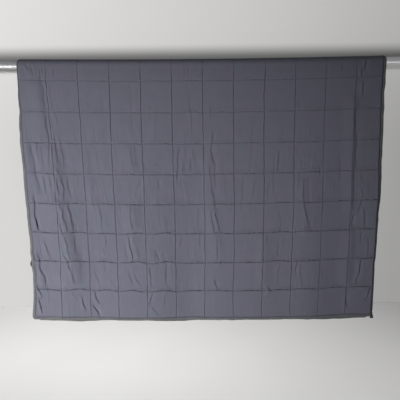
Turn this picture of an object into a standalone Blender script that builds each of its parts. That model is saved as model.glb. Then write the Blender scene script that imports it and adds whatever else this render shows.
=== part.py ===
"""A quilted weighted blanket hung over a round rod.

Metres, +Z up.  X runs along the rod, and -Y is the blanket's front.  The origin is the
centre of the rod's left end face.  A place on the blanket is given in squares: p counts
across from the left edge, 0 to 12, and q counts along the cloth from the front hem, over
the rod, to the back hem, 0 to 18.
"""
import math

import bmesh
import bpy
from mathutils import Vector

# Rod
ROD_LENGTH = 1.5
ROD_RADIUS = 0.019
ROD_BOW = 0.008              # the blanket's weight bows the rod down by this at its middle
ROD_SIDES = 20
ROD_STEPS = 10

# Blanket
SQUARES_ACROSS = 12
SQUARES_ALONG = 18
FRONT_SQUARES = 9            # squares from the front hem to the middle seam
SQUARE_ACROSS = 0.0994       # hung width of a square
SQUARE_BACK = 0.0996         # hung height of a square on the back
BACK_HEM_SQUARE = 0.1066     # the back's last square, with its binding
SEAM_HALF = 0.0012           # half the thickness where the faces are stitched together
CROWN_OUTER = 0.0042         # how far a filled square stands proud of its seams, outside
CROWN_INNER = 0.0026         # and inside
CROWN_ON_ROD = 0.4           # share of the outer crown left where the cloth lies on the rod
FULLNESS = 5.0               # higher makes a square flatter, with narrower grooves at its seams
BEAD_SETTLE = 0.8            # under 1 lowers the fullest part of a square, where its beads sit

# Edge binding, a tape folded over the edge
BINDING_WIDTH = 0.0086       # inner edge, measured in from the cloth's edge
BINDING_THICK = 0.0006
EDGE_MARGIN = 0.0095         # flat margin of the cloth under the binding, and its corner radius
GAP = 0.0003                 # clearance between touching pieces

# The cloth's middle lies on this radius where it goes over the rod
ROD_CLEARANCE = 0.002
WRAP_RADIUS = ROD_RADIUS + ROD_CLEARANCE + BINDING_THICK + GAP + SEAM_HALF
WRAP_LENGTH = math.pi * WRAP_RADIUS
WRAP_STEPS = 8
MIDDLE_SEAM_STEP = 6         # the middle seam lies this many wrap steps over the rod

# Tabs, folded tapes that stand out from the binding.  One side of each outline follows the
# binding, and its free side is a short table.
SIDE_TAB_ROOT = (1.745, 1.995)               # q of its two ends on the binding
SIDE_TAB_FREE = ((1.900, 0.0043), (1.875, 0.0050), (1.815, 0.0050))   # q, way off the edge
SIDE_TAB_THICK = 0.0016
CORNER_TAB_ROOT_UP = (0.0152, 0.0095, 0.0060, 0.0030, 0.0)    # places up the right edge
CORNER_TAB_ROOT_IN = (0.0030, 0.0056)                         # places in along the hem
CORNER_TAB_FREE = ((-0.0048, -0.0091), (0.0075, -0.0091), (0.0068, -0.0021),
                   (0.0046, 0.0049), (0.0022, 0.0152))        # right and up from the corner
CORNER_TAB_THICK = 0.0018
TAB_GAP = BINDING_THICK + 2 * GAP            # from the cloth's edge to a tab

# How the front hangs at each seam across it.  drop is below the rod's axis at the middle,
# lift_left and lift_right are how much higher the first and last upright seams are there,
# and the rest are sideways shifts of the edges and of some upright seams.  Millimetres.
FRONT_COLUMNS = ("row", "drop", "lift_left", "lift_right",
                 "left_edge", "seam_1", "seam_3", "seam_6", "seam_9", "seam_11", "right_edge")
FRONT_ROWS = (
    (0, 865.5, 3.0, 2.0, -5.0, -2.5, -1.5, -1.5, -1.5, -5.0, -9.5),
    (1, 756.5, 6.3, 3.9, 5.4, 0.7, -0.2, -0.6, -0.8, -4.6, -8.0),
    (2, 654.2, 8.1, 5.2, 4.4, 5.2, 0.5, 1.7, 0.6, -2.9, -8.1),
    (3, 551.7, 6.5, 4.6, 4.1, 4.8, -0.6, 2.3, 2.0, -2.7, -6.6),
    (4, 450.0, 5.9, 3.2, 2.0, 4.8, -1.1, 2.6, 3.6, -1.4, -4.6),
    (5, 348.3, 4.8, 3.0, 0.4, 3.4, -2.3, 1.0, 1.8, -5.2, -6.0),
    (6, 247.3, 4.5, 3.0, -1.6, 1.6, -2.8, 0.5, 0.2, -3.9, -7.0),
    (7, 146.9, 3.9, 2.8, 1.5, -1.3, -2.9, -0.8, -0.1, -6.1, -10.0),
    (8, 47.8, 3.0, 3.8, 6.0, -3.8, -1.7, -0.7, 0.7, -2.6, -11.0),
    (9, -54.4, 3.0, 3.8, 8.0, -4.0, -1.5, 0.0, 0.5, -2.0, -10.5),
)
SHIFT_SEAMS = (("left_edge", 0), ("seam_1", 1), ("seam_3", 3), ("seam_6", 6),
               ("seam_9", 9), ("seam_11", 11), ("right_edge", 12))
BACK_SHIFT = 0.6             # the back shifts by this share of the front's shift
LIFT_SEAM = 5.0              # squares from the middle to the seams where lift is given

# Slow waves that stand the hanging panels forward and back: length, depth at the hem, phase
WAVES = ((0.47, 0.0030, 0.9), (0.29, 0.0022, 2.3), (0.17, 0.0009, 4.1))
WAVE_FULL_DROP = 0.85

# Main folds of the front, in squares across and rows below its first seam across.
# Width is half the fold's width and height how far it stands out, in millimetres.
FOLD_COLUMNS = ("across_top", "down_top", "across_foot", "down_foot", "width", "height")
FOLDS = (
    (0.82, 0.05, 1.10, 0.95, 16, -3.0),
    (1.02, 0.10, 1.22, 2.00, 14, 3.5),
    (1.10, 1.90, 1.30, 3.05, 14, 3.5),
    (1.24, 1.00, 1.46, 2.10, 15, -3.0),
    (1.30, 3.00, 1.66, 5.05, 14, -3.0),
    (1.20, 3.10, 1.42, 5.20, 15, 3.0),
    (1.10, 5.10, 1.60, 6.60, 15, 3.0),
    (0.26, 5.80, 0.56, 7.10, 15, -2.5),
    (6.28, 2.40, 6.62, 5.10, 20, -2.5),
    (9.30, 3.20, 9.62, 5.20, 20, -2.5),
    (11.10, 0.00, 11.02, 2.90, 15, 2.5),
    (11.36, 0.05, 11.20, 1.60, 14, -2.0),
    (11.62, 5.80, 11.30, 6.90, 15, -2.5),
)
FOLD_FADE = 0.15             # share of a fold's length over which each end dies away

# Cross lines of the mesh within a square, as shares of it
PLAIN_LINES = (0.0, 0.12, 0.88)
FOLD_LINES = (0.0, 0.12, 0.37, 0.63, 0.88)
FOLD_SQUARES = (0, 1)        # columns with the closer lines, for the long pleat


def clear_scene():
    """Remove whatever the scene starts with."""
    for obj in list(bpy.data.objects):
        bpy.data.objects.remove(obj, do_unlink=True)


def make_material(name, colour, roughness, metallic=0.0):
    """A Principled material of one finish."""
    material = bpy.data.materials.new(name)
    material.use_nodes = True
    shader = material.node_tree.nodes["Principled BSDF"]
    shader.inputs["Base Color"].default_value = (*colour, 1.0)
    shader.inputs["Roughness"].default_value = roughness
    shader.inputs["Metallic"].default_value = metallic
    return material


def add_object(name, bm, material):
    """Turn a finished bmesh into a named object."""
    bmesh.ops.recalc_face_normals(bm, faces=bm.faces)
    mesh = bpy.data.meshes.new(name)
    bm.to_mesh(mesh)
    bm.free()
    mesh.materials.append(material)
    obj = bpy.data.objects.new(name, mesh)
    bpy.context.scene.collection.objects.link(obj)
    return obj


def rod_height(x):
    """Height of the bowed rod's axis at x."""
    half = ROD_LENGTH / 2
    return -ROD_BOW * (1 - ((x - half) / half) ** 2)


def smooth_step(t):
    """0 to 1 with level ends."""
    t = min(max(t, 0.0), 1.0)
    return t * t * (3 - 2 * t)


def front_value(column, row):
    """A column of FRONT_ROWS at any row, on a smooth curve through the table."""
    index = FRONT_COLUMNS.index(column)
    last = len(FRONT_ROWS) - 1
    row = min(max(row, 0.0), last)
    start = min(int(row), last - 1)
    before, here, there, after = (
        FRONT_ROWS[min(max(start + step, 0), last)][index] for step in (-1, 0, 1, 2))
    t = row - start
    slope_here = (there - before) / 2
    slope_there = (after - here) / 2
    value = (here * (2 * t ** 3 - 3 * t ** 2 + 1) + slope_here * (t ** 3 - 2 * t ** 2 + t)
             + there * (3 * t ** 2 - 2 * t ** 3) + slope_there * (t ** 3 - t ** 2))
    return value / 1000


def front_drop(q):
    """Drop below the rod's axis along the front, straight between the seams."""
    start = min(max(int(q), 0), FRONT_SQUARES - 1)
    share = q - start
    return (FRONT_ROWS[start][1] * (1 - share) + FRONT_ROWS[start + 1][1] * share) / 1000


def run_at(q):
    """Way along the cloth at q, from the front point level with the rod's axis."""
    if q <= FRONT_SQUARES:
        return -front_drop(q)
    start = -front_drop(FRONT_SQUARES)
    last = SQUARES_ALONG - 1
    if q <= last:
        return start + (q - FRONT_SQUARES) * SQUARE_BACK
    return start + (last - FRONT_SQUARES) * SQUARE_BACK + (q - last) * BACK_HEM_SQUARE


def sideways(p, q):
    """Shift along the rod away from the even spacing."""
    share = 1.0
    if q > FRONT_SQUARES:
        share = 1 + (BACK_SHIFT - 1) * smooth_step(q - FRONT_SQUARES)
        q = SQUARES_ALONG - q
    inside = min(max(p, 0.0), SQUARES_ACROSS)
    for (left, low), (right, high) in zip(SHIFT_SEAMS, SHIFT_SEAMS[1:]):
        if inside <= high:
            t = (inside - low) / (high - low)
            return share * (front_value(left, q) * (1 - t) + front_value(right, q) * t)
    return 0.0


def lift(p, q):
    """How much higher the cloth hangs at p than at the middle."""
    row = min(q, FRONT_SQUARES)
    from_middle = (p - SQUARES_ACROSS / 2) / LIFT_SEAM
    side = "lift_left" if from_middle < 0 else "lift_right"
    return front_value(side, row) * min(from_middle ** 2, 1.5)


def wave(x, drop, front):
    """Depth of the slow waves at x, none at the rod and full near the hem."""
    grow = smooth_step(drop / WAVE_FULL_DROP)
    turn = 0.0 if front else 1.7
    return grow * sum(depth * math.sin(2 * math.pi * x / length + phase + turn)
                      for length, depth, phase in WAVES)


def fold_height(p, down):
    """How far the main folds stand the front out at p across and down rows."""
    total = 0.0
    for row in FOLDS:
        fold = dict(zip(FOLD_COLUMNS, row))
        along = (down - fold["down_top"]) / (fold["down_foot"] - fold["down_top"])
        line = fold["across_top"] * (1 - along) + fold["across_foot"] * along
        beside = (p - line) * SQUARE_ACROSS * 1000 / fold["width"]
        if abs(beside) < 1:
            fade = smooth_step((along + FOLD_FADE) / (2 * FOLD_FADE))
            fade *= smooth_step((1 + FOLD_FADE - along) / (2 * FOLD_FADE))
            total += fold["height"] / 1000 * fade * (1 - beside ** 2) ** 2
    return total


def margin_across():
    return EDGE_MARGIN / SQUARE_ACROSS


def margin_front():
    return EDGE_MARGIN / (front_drop(0) - front_drop(1))


def margin_back():
    return EDGE_MARGIN / BACK_HEM_SQUARE


def round_corner(p, q):
    """Draw a place near one of the four corners in, onto the corner's arc."""
    across = margin_across()
    along = margin_front() if q < FRONT_SQUARES else margin_back()
    end_p = 0 if p < SQUARES_ACROSS / 2 else SQUARES_ACROSS
    end_q = 0 if q < FRONT_SQUARES else SQUARES_ALONG
    out_p = 1 - abs(p - end_p) / across if 0 < p < SQUARES_ACROSS else 1 + abs(p - end_p) / across
    out_q = 1 - abs(q - end_q) / along if 0 < q < SQUARES_ALONG else 1 + abs(q - end_q) / along
    if out_p <= 0 or out_q <= 0:
        return p, q
    shrink = max(out_p, out_q) / math.hypot(out_p, out_q)
    p_in = 1 if end_p == 0 else -1
    q_in = 1 if end_q == 0 else -1
    return (end_p + p_in * across * (1 - out_p * shrink),
            end_q + q_in * along * (1 - out_q * shrink))


def hang(p, q, out):
    """The point at p, q on the hung cloth, at the distance out from its middle layer."""
    p, q = round_corner(p, q)
    x = ROD_LENGTH / 2 + (p - SQUARES_ACROSS / 2) * SQUARE_ACROSS + sideways(p, q)
    axis = rod_height(x)
    run = run_at(q) + lift(p, q)
    if run <= 0:
        out += wave(x, -run, True) + fold_height(p, FRONT_SQUARES - 1 - q)
        return Vector((x, -WRAP_RADIUS - out, axis + run))
    if run >= WRAP_LENGTH:
        out += wave(x, run - WRAP_LENGTH, False)
        return Vector((x, WRAP_RADIUS + out, axis - (run - WRAP_LENGTH)))
    angle = run / WRAP_RADIUS
    reach = WRAP_RADIUS + out
    return Vector((x, -reach * math.cos(angle), axis + reach * math.sin(angle)))


def square_share(place, count, margin_low, margin_high):
    """Share of the way across the stitched square that holds a place, 0 in the margins."""
    if place <= margin_low or place >= count - margin_high:
        return 0.0
    start = min(int(place), count - 1)
    low = margin_low if start == 0 else start
    high = count - margin_high if start == count - 1 else start + 1
    return (place - low) / (high - low)


def crown(p, q):
    """Fullness of the square at p, q: 0 at its seams, about 1 at its fullest part."""
    a = square_share(p, SQUARES_ACROSS, margin_across(), margin_across())
    b = square_share(q, SQUARES_ALONG, margin_front(), margin_back())
    if a <= 0 or b <= 0:
        return 0.0
    if q > FRONT_SQUARES:
        b = 1 - b
    across = 1 - abs(2 * a - 1) ** FULLNESS
    along = 1 - abs(2 * b ** BEAD_SETTLE - 1) ** FULLNESS
    return across * along


def on_rod(q):
    """1 where the cloth lies on the rod, 0 where it hangs."""
    run = run_at(q)
    inside = min(run, WRAP_LENGTH - run)
    return smooth_step(1 + inside / WRAP_RADIUS)


def outer_point(p, q):
    """A point of the outer face."""
    rise = CROWN_OUTER * crown(p, q) * (1 - (1 - CROWN_ON_ROD) * on_rod(q))
    return hang(p, q, SEAM_HALF + rise)


def inner_point(p, q):
    """A point of the inner face, which lies flat on the rod."""
    return hang(p, q, -SEAM_HALF - CROWN_INNER * crown(p, q) * (1 - on_rod(q)))


def across_lines():
    """The mesh's upright lines, as values of p."""
    margin = margin_across()
    lines = [0.0, margin]
    for square in range(SQUARES_ACROSS):
        low = margin if square == 0 else square
        high = SQUARES_ACROSS - margin if square == SQUARES_ACROSS - 1 else square + 1
        shares = FOLD_LINES if square in FOLD_SQUARES else PLAIN_LINES
        lines += [low + (high - low) * share for share in shares if low + share > margin]
    return lines + [SQUARES_ACROSS - margin, SQUARES_ACROSS]


def along_lines():
    """The mesh's lines across the cloth, as values of q, closer where it turns over the rod."""
    lines = [0.0, margin_front()]
    for square in range(SQUARES_ALONG):
        low = margin_front() if square == 0 else square
        high = SQUARES_ALONG - margin_back() if square == SQUARES_ALONG - 1 else square + 1
        if square == FRONT_SQUARES - 1:
            pitch = run_at(FRONT_SQUARES) - run_at(square)
            level = square - run_at(square) / pitch
            step = WRAP_LENGTH / WRAP_STEPS / pitch
            lines += [square, square + PLAIN_LINES[1]]
            lines += [level + step * turn for turn in range(MIDDLE_SEAM_STEP)]
        elif square == FRONT_SQUARES:
            step = WRAP_LENGTH / WRAP_STEPS / SQUARE_BACK
            turns = WRAP_STEPS - MIDDLE_SEAM_STEP
            lines += [square + step * turn for turn in range(turns + 1)]
            lines += [square + PLAIN_LINES[2]]
        else:
            lines += [low + (high - low) * share for share in PLAIN_LINES if low + share > margin_front()]
    return lines + [SQUARES_ALONG - margin_back(), SQUARES_ALONG]


def build_rod(material):
    """The rod: a round bar with level end faces, bowed down a little."""
    bm = bmesh.new()
    rings = []
    for step in range(ROD_STEPS + 1):
        x = ROD_LENGTH * step / ROD_STEPS
        turns = [2 * math.pi * side / ROD_SIDES for side in range(ROD_SIDES)]
        rings.append([bm.verts.new((x, ROD_RADIUS * math.cos(turn),
                                    rod_height(x) + ROD_RADIUS * math.sin(turn)))
                      for turn in turns])
    for ring, next_ring in zip(rings, rings[1:]):
        for side in range(ROD_SIDES):
            after = (side + 1) % ROD_SIDES
            bm.faces.new((ring[side], ring[after], next_ring[after], next_ring[side]))
    bm.faces.new(rings[0])
    bm.faces.new(rings[-1])
    rod = add_object("rod", bm, material)
    rod.data.shade_smooth()
    rod.data.set_sharp_from_angle(angle=math.radians(40))
    return rod


def add_sheet(bm, point, p_lines, q_lines):
    """One face of the cloth as triangles; returns its rows of vertices."""
    rows = [[bm.verts.new(point(p, q)) for p in p_lines] for q in q_lines]
    for row, next_row in zip(rows, rows[1:]):
        for here, there, above, above_there in zip(row, row[1:], next_row, next_row[1:]):
            bm.faces.new((here, there, above_there))
            bm.faces.new((here, above_there, above))
    return rows


def rim_of(rows):
    """The vertices round the edge of a sheet, in order."""
    left = [row[0] for row in rows]
    right = [row[-1] for row in rows]
    return rows[0] + right[1:] + rows[-1][-2::-1] + left[-2:0:-1]


def build_quilt(material):
    """The blanket: two faces of stitched squares, joined round the rim into one solid."""
    bm = bmesh.new()
    p_lines = across_lines()
    q_lines = along_lines()
    outer = rim_of(add_sheet(bm, outer_point, p_lines, q_lines))
    inner = rim_of(add_sheet(bm, inner_point, p_lines, q_lines))
    for index in range(len(outer)):
        after = (index + 1) % len(outer)
        bm.faces.new((outer[index], outer[after], inner[after]))
        bm.faces.new((outer[index], inner[after], inner[index]))
    return add_object("quilt", bm, material)


def edge_stations():
    """Places round the edge with the way in from each, as steps of p and q per metre."""
    p_lines = [p for p in across_lines() if 0 < p < SQUARES_ACROSS]
    q_lines = [q for q in along_lines() if 0 < q < SQUARES_ALONG]
    in_p = 1 / SQUARE_ACROSS
    in_front = margin_front() / EDGE_MARGIN
    in_back = margin_back() / EDGE_MARGIN
    stations = [(0, 0, in_p, in_front)]
    stations += [(p, 0, 0, in_front) for p in p_lines]
    stations += [(SQUARES_ACROSS, 0, -in_p, in_front)]
    stations += [(SQUARES_ACROSS, q, -in_p, 0) for q in q_lines]
    stations += [(SQUARES_ACROSS, SQUARES_ALONG, -in_p, -in_back)]
    stations += [(p, SQUARES_ALONG, 0, -in_back) for p in reversed(p_lines)]
    stations += [(0, SQUARES_ALONG, in_p, -in_back)]
    stations += [(0, q, in_p, 0) for q in reversed(q_lines)]
    return stations


def binding_section():
    """The folded tape's section: way in from the cloth's edge, and height off its middle."""
    under = SEAM_HALF + GAP
    over = under + BINDING_THICK
    nose = GAP + BINDING_THICK
    return ((BINDING_WIDTH, over), (-nose, over), (-nose, -over), (BINDING_WIDTH, -over),
            (BINDING_WIDTH, -under), (-GAP, -under), (-GAP, under), (BINDING_WIDTH, under))


def build_binding(material):
    """The binding: one tape folded over the whole edge, mitred round the corners."""
    bm = bmesh.new()
    loops = [[bm.verts.new(hang(p + step_p * way_in, q + step_q * way_in, height))
              for way_in, height in binding_section()]
             for p, q, step_p, step_q in edge_stations()]
    for index, loop in enumerate(loops):
        after = loops[(index + 1) % len(loops)]
        for corner in range(len(loop)):
            follow = (corner + 1) % len(loop)
            bm.faces.new((loop[corner], after[corner], after[follow]))
            bm.faces.new((loop[corner], after[follow], loop[follow]))
    return add_object("binding", bm, material)


def build_tab(name, outline, thick, material):
    """A folded tape: an outline of points given its thickness across the cloth."""
    bm = bmesh.new()
    step = Vector((0, thick, 0))
    base = bm.faces.new([bm.verts.new(point - step / 2) for point in outline])
    extruded = bmesh.ops.extrude_face_region(bm, geom=[base])
    moved = [item for item in extruded["geom"] if isinstance(item, bmesh.types.BMVert)]
    bmesh.ops.translate(bm, verts=moved, vec=step)
    return add_object(name, bm, material)


def build_side_tab(material):
    """The dark tab in the left edge."""
    places = [(SIDE_TAB_ROOT[0], 0.0), (SIDE_TAB_ROOT[1], 0.0), *SIDE_TAB_FREE]
    outline = [hang(-(TAB_GAP + out) / SQUARE_ACROSS, q, 0.0) for q, out in places]
    depth = sum(point.y for point in outline) / len(outline)
    flat = [Vector((point.x, depth, point.z)) for point in outline]
    return build_tab("side_tab", flat, SIDE_TAB_THICK, material)


def build_corner_tab(material):
    """The tab that hangs from the right-hand bottom corner of the front."""
    up = margin_front() / EDGE_MARGIN
    beside = SQUARES_ACROSS + TAB_GAP / SQUARE_ACROSS
    below = -TAB_GAP * up
    root = [hang(beside, height * up, 0.0) for height in CORNER_TAB_ROOT_UP]
    root += [hang(SQUARES_ACROSS - way / SQUARE_ACROSS, below, 0.0) for way in CORNER_TAB_ROOT_IN]
    corner = Vector((hang(SQUARES_ACROSS, margin_front(), 0.0).x, 0.0,
                     hang(SQUARES_ACROSS - margin_across(), 0.0, 0.0).z))
    free = [corner + Vector((right, 0, height)) for right, height in CORNER_TAB_FREE]
    depth = sum(point.y for point in root) / len(root)
    outline = [Vector((point.x, depth, point.z)) for point in root + free]
    return build_tab("corner_tab", outline, CORNER_TAB_THICK, material)


def main():
    clear_scene()
    build_rod(make_material("rod_metal", (0.60, 0.60, 0.59), 0.28, 1.0))
    build_quilt(make_material("quilt_cotton", (0.105, 0.110, 0.140), 0.92))
    build_binding(make_material("binding_tape", (0.120, 0.125, 0.120), 0.88))
    build_side_tab(make_material("dark_tape", (0.015, 0.015, 0.018), 0.85))
    build_corner_tab(make_material("loop_tape", (0.050, 0.048, 0.052), 0.88))


main()
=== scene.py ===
import math

import bpy
import numpy as np
from mathutils import Matrix, Vector


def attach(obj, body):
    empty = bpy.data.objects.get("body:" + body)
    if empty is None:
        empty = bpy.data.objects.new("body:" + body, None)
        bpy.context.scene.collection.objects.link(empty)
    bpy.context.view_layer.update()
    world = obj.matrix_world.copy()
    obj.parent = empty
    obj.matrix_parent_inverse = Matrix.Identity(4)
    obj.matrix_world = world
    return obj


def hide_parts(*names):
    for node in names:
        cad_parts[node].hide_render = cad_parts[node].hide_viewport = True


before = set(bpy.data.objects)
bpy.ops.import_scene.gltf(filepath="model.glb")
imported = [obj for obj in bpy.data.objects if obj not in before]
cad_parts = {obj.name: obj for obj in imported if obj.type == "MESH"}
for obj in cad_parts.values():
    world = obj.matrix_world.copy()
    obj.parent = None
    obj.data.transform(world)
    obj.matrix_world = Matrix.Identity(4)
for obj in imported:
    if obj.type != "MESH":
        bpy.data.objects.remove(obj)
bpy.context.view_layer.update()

# A place on the blanket is given in squares: p from its left edge, 0 to 12, and q along the cloth
# from the front hem, over the rod, to the back hem, 0 to 18. "down" is 8 - q, rows below the first seam.

rod = {
    "length": 1.5,
    "radius": 0.019,
    "bow": 0.008,            # how far the weight bows it down at its middle
    "sides": 64,
    "rings": 40,
    "wall": 0.0012,          # of the tube, seen at its plugged ends
}
blanket = {
    "across": 12,
    "along": 18,
    "front": 9,              # squares from the front hem to the middle seam
    "squareAcross": 0.0994,
    "squareFront": 0.1015,   # height of a square in front, then behind
    "squareBack": 0.0996,
    "topSquare": 0.1022,     # of the one that runs onto the rod
    "frontHemSquare": 0.109,
    "backHemSquare": 0.1066,
    "overRod": 0.0216,       # radius of the cloth's middle layer over the rod
    "margin": 0.0095,        # flat strip under the binding, and the corners' radius
    "backShift": 0.6,        # share of the front's sideways shift that the back has
    "spread": 0.0026,        # extra width of the front at each side
    "seamHalf": 0.0012,      # half the thickness at a seam
    "seamRaise": 0.0020,     # of the outer face at a seam, over the half thickness
    "rise": 0.0005,          # how far a square stands proud of its seams
    "grooveWidth": 0.0013,   # way from a seam to where the square is nearly full
    "puff": 0.0002,          # slow extra fullness towards a square's middle
    "lean": 0.0003,          # from a square's left side to its right
    "lip": 0.0010,           # of the cloth pushed up left of an upright seam
    "sag": 0.0003,           # of the beads above a seam across
    "innerRise": 0.0022,     # the same on the inner face
    "innerPuff": 0.0004,
    "onRod": 0.2,            # share of the rise left where it lies on the rod
    "rodFade": 0.034,        # way before the rod over which the rise is lost
    "edgeRise": 0.0045,      # way in from the binding over which the cloth rises
}
# How the front hangs at each seam across it, from the hem up, in millimetres
frontHang = {
    "drop": (865.5, 756.5, 654.2, 551.7, 450.0, 348.3, 247.3, 146.9, 47.8, -54.4),
    "liftLeft": (3.0, 6.3, 8.1, 6.5, 5.9, 4.8, 4.5, 3.9, 3.0, 3.0),
    "liftRight": (2.0, 3.9, 5.2, 4.6, 3.2, 3.0, 3.0, 2.8, 3.8, 3.8),
    "liftReach": 5,          # squares from the middle where the lift is as given
    "liftMost": 1.5,
}
# Sideways shift of the edges and of some upright seams, at the same places
seamShift = {
    0: (-5.0, 5.4, 4.4, 4.1, 2.0, 0.4, -1.6, 1.5, 6.0, 8.0),
    1: (-2.5, 0.7, 5.2, 4.8, 4.8, 3.4, 1.6, -1.3, -3.8, -4.0),
    3: (-1.5, -0.2, 0.5, -0.6, -1.1, -2.3, -2.8, -2.9, -1.7, -1.5),
    6: (-1.5, -0.6, 1.7, 2.3, 2.6, 1.0, 0.5, -0.8, -0.7, 0.0),
    9: (-1.5, -0.8, 0.6, 2.0, 3.6, 1.8, 0.2, -0.1, 0.7, 0.5),
    11: (-5.0, -4.6, -2.9, -2.7, -1.4, -5.2, -3.9, -6.1, -2.6, -2.0),
    12: (-9.5, -8.0, -8.1, -6.6, -4.6, -6.0, -7.0, -10.0, -11.0, -10.5),
}
slowWaves = ((0.47, 0.0030, 0.9), (0.29, 0.0022, 2.3), (0.17, 0.0009, 4.1))

# Broad ridges of the front: reach left and right of the crest and height, in mm, then the crest's
# places across and down
ridges = (
    (50, 26, 3.4, ((0.70, 0.05), (0.71, 0.7), (0.74, 1.2), (0.76, 2.0))),
    (85, 44, 6.0, ((1.02, 2.1), (1.00, 3.0), (1.04, 3.6), (1.08, 4.2), (1.22, 5.0), (1.34, 5.6), (1.42, 6.2),
                   (1.46, 6.9))),
    (16, 14, 1.2, ((0.16, 2.2), (0.18, 3.0), (0.20, 4.0), (0.22, 4.9))),
    (18, 18, 2.0, ((0.14, 5.7), (0.20, 6.2), (0.32, 6.9))),
    (35, 44, 4.6, ((3.52, 4.05), (3.54, 4.9))),
    (30, 38, 2.2, ((3.58, 5.05), (3.62, 5.9))),
    (40, 35, 1.8, ((1.88, 6.1), (1.90, 6.9))),
    (35, 28, 2.0, ((3.55, 2.05), (3.60, 2.9))),
    (40, 30, 1.5, ((2.02, 2.2), (2.10, 3.0), (2.20, 3.7), (2.42, 4.3), (2.52, 4.9))),
    (40, 20, 2.0, ((6.18, 2.4), (6.20, 3.2), (6.26, 4.2), (6.36, 5.1))),
    (30, 30, 1.5, ((6.38, 5.1), (6.42, 5.9))),
    (30, 40, 2.2, ((7.98, 5.1), (8.02, 6.0), (8.05, 6.8))),
    (50, 22, 2.0, ((9.28, 3.2), (9.32, 4.0), (9.48, 5.1))),
    (40, 20, 3.0, ((10.97, 0.6), (10.98, 1.4), (11.00, 2.4), (11.00, 3.4), (11.02, 4.4))),
    (60, 22, 1.6, ((11.42, 3.4), (11.45, 3.9))),
    (40, 24, 3.0, ((11.02, 5.0), (11.04, 5.6), (11.00, 6.3), (11.00, 6.9))),
    (22, 16, 1.8, ((0.20, 2.0), (0.24, 2.5), (0.30, 3.0), (0.40, 3.5), (0.46, 3.8))),
    (12, 12, 1.6, ((0.45, 2.05), (0.50, 2.5), (0.56, 2.95))),
)


# Drop in metres at which the slow waves are full, and how far the back's are turned on
waveShape = {"full": 0.85, "backTurn": 1.7}
# How far past its first and last place a ridge runs out, and over how far, in rows
ridgeEnds = {"past": 0.15, "fade": 0.35}
# Small wander of the stitched lines, in mm, with the steps to a square
wander = {"seed": 511, "across": 0.75, "down": 0.55, "steps": 4}


def smoothStep(t):
    t = np.clip(t, 0.0, 1.0)
    return t * t * (3 - 2 * t)


def wanderTable(seams, squares, seed):
    random = np.random.default_rng(wander["seed"] + seed)
    return random.normal(0, 1, (seams + 1, squares * wander["steps"] + 2))


wanderAcross = wanderTable(blanket["across"], blanket["along"], 0)
wanderDown = wanderTable(blanket["along"], blanket["across"], 1)


def wanderAt(table, seam, along):
    seam = np.clip(seam, 0, table.shape[0] - 1.001)
    along = np.clip(along * wander["steps"], 0, table.shape[1] - 1.001)
    row, step = seam.astype(int), along.astype(int)
    share, way = seam - row, smoothStep(along - step)
    here = table[row, step] * (1 - way) + table[row, step + 1] * way
    there = table[row + 1, step] * (1 - way) + table[row + 1, step + 1] * way
    return here * (1 - share) + there * share


def alongTable(values, row):
    table = np.array(values) / 1000
    last = len(table) - 1
    row = np.clip(row, 0.0, last)
    start = np.minimum(row.astype(int), last - 1)
    before, here, there, after = (table[np.clip(start + step, 0, last)] for step in (-1, 0, 1, 2))
    t = row - start
    slopeHere = (there - before) / 2
    slopeThere = (after - here) / 2
    return (here * (2 * t ** 3 - 3 * t ** 2 + 1) + slopeHere * (t ** 3 - 2 * t ** 2 + t)
            + there * (3 * t ** 2 - 2 * t ** 3) + slopeThere * (t ** 3 - t ** 2))


def rodHeight(x):
    half = rod["length"] / 2
    return -rod["bow"] * (1 - ((x - half) / half) ** 2)


# Way along the cloth at q, from the front point level with the rod's axis
def runAt(q):
    drops = np.array(frontHang["drop"]) / 1000
    frontRun = -np.interp(q, range(len(drops)), drops)
    last = blanket["along"] - 1
    squares = np.minimum(q, last) - blanket["front"]
    pastLast = np.maximum(q - last, 0)
    backRun = -drops[-1] + squares * blanket["squareBack"] + pastLast * blanket["backHemSquare"]
    return np.where(q <= blanket["front"], frontRun, backRun)


def sideways(p, q):
    back = q > blanket["front"]
    share = np.where(back, 1 + (blanket["backShift"] - 1) * smoothStep(q - blanket["front"]), 1.0)
    row = np.where(back, blanket["along"] - q, q)
    inside = np.clip(p, 0.0, blanket["across"])
    seams = sorted(seamShift)
    shift = np.zeros_like(inside)
    for low, high in zip(seams, seams[1:]):
        t = (inside - low) / (high - low)
        value = alongTable(seamShift[low], row) * (1 - t) + alongTable(seamShift[high], row) * t
        shift = np.where((inside >= low) & (inside <= high), value, shift)
    return share * shift + wanderAt(wanderAcross, p, q) * wander["across"] / 1000


def lift(p, q):
    row = np.minimum(q, blanket["front"])
    fromMiddle = (p - blanket["across"] / 2) / frontHang["liftReach"]
    left, right = alongTable(frontHang["liftLeft"], row), alongTable(frontHang["liftRight"], row)
    side = np.where(fromMiddle < 0, left, right)
    risen = side * np.minimum(fromMiddle ** 2, frontHang["liftMost"])
    return risen + wanderAt(wanderDown, q, p) * wander["down"] / 1000


def slowWave(x, drop, turn):
    grow = smoothStep(drop / waveShape["full"])
    waves = [depth * np.sin(2 * math.pi * x / length + phase + turn) for length, depth, phase in slowWaves]
    return grow * sum(waves)


def ridgeHeight(p, down):
    total = np.zeros_like(p)
    for left, right, height, places in ridges:
        across, level = [place[0] for place in places], [place[1] for place in places]
        started = smoothStep((down - level[0] + ridgeEnds["past"]) / ridgeEnds["fade"])
        fade = started * smoothStep((level[-1] + ridgeEnds["past"] - down) / ridgeEnds["fade"])
        beside = (p - np.interp(down, level, across)) * blanket["squareAcross"] * 1000
        total += height / 1000 * fade * smoothStep(1 - np.where(beside < 0, -beside / left, beside / right))
    return total


def marginAlong(q):
    drops = frontHang["drop"]
    return np.where(q < blanket["front"], blanket["margin"] / (drops[0] - drops[1]) * 1000,
                    blanket["margin"] / blanket["backHemSquare"])


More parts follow.
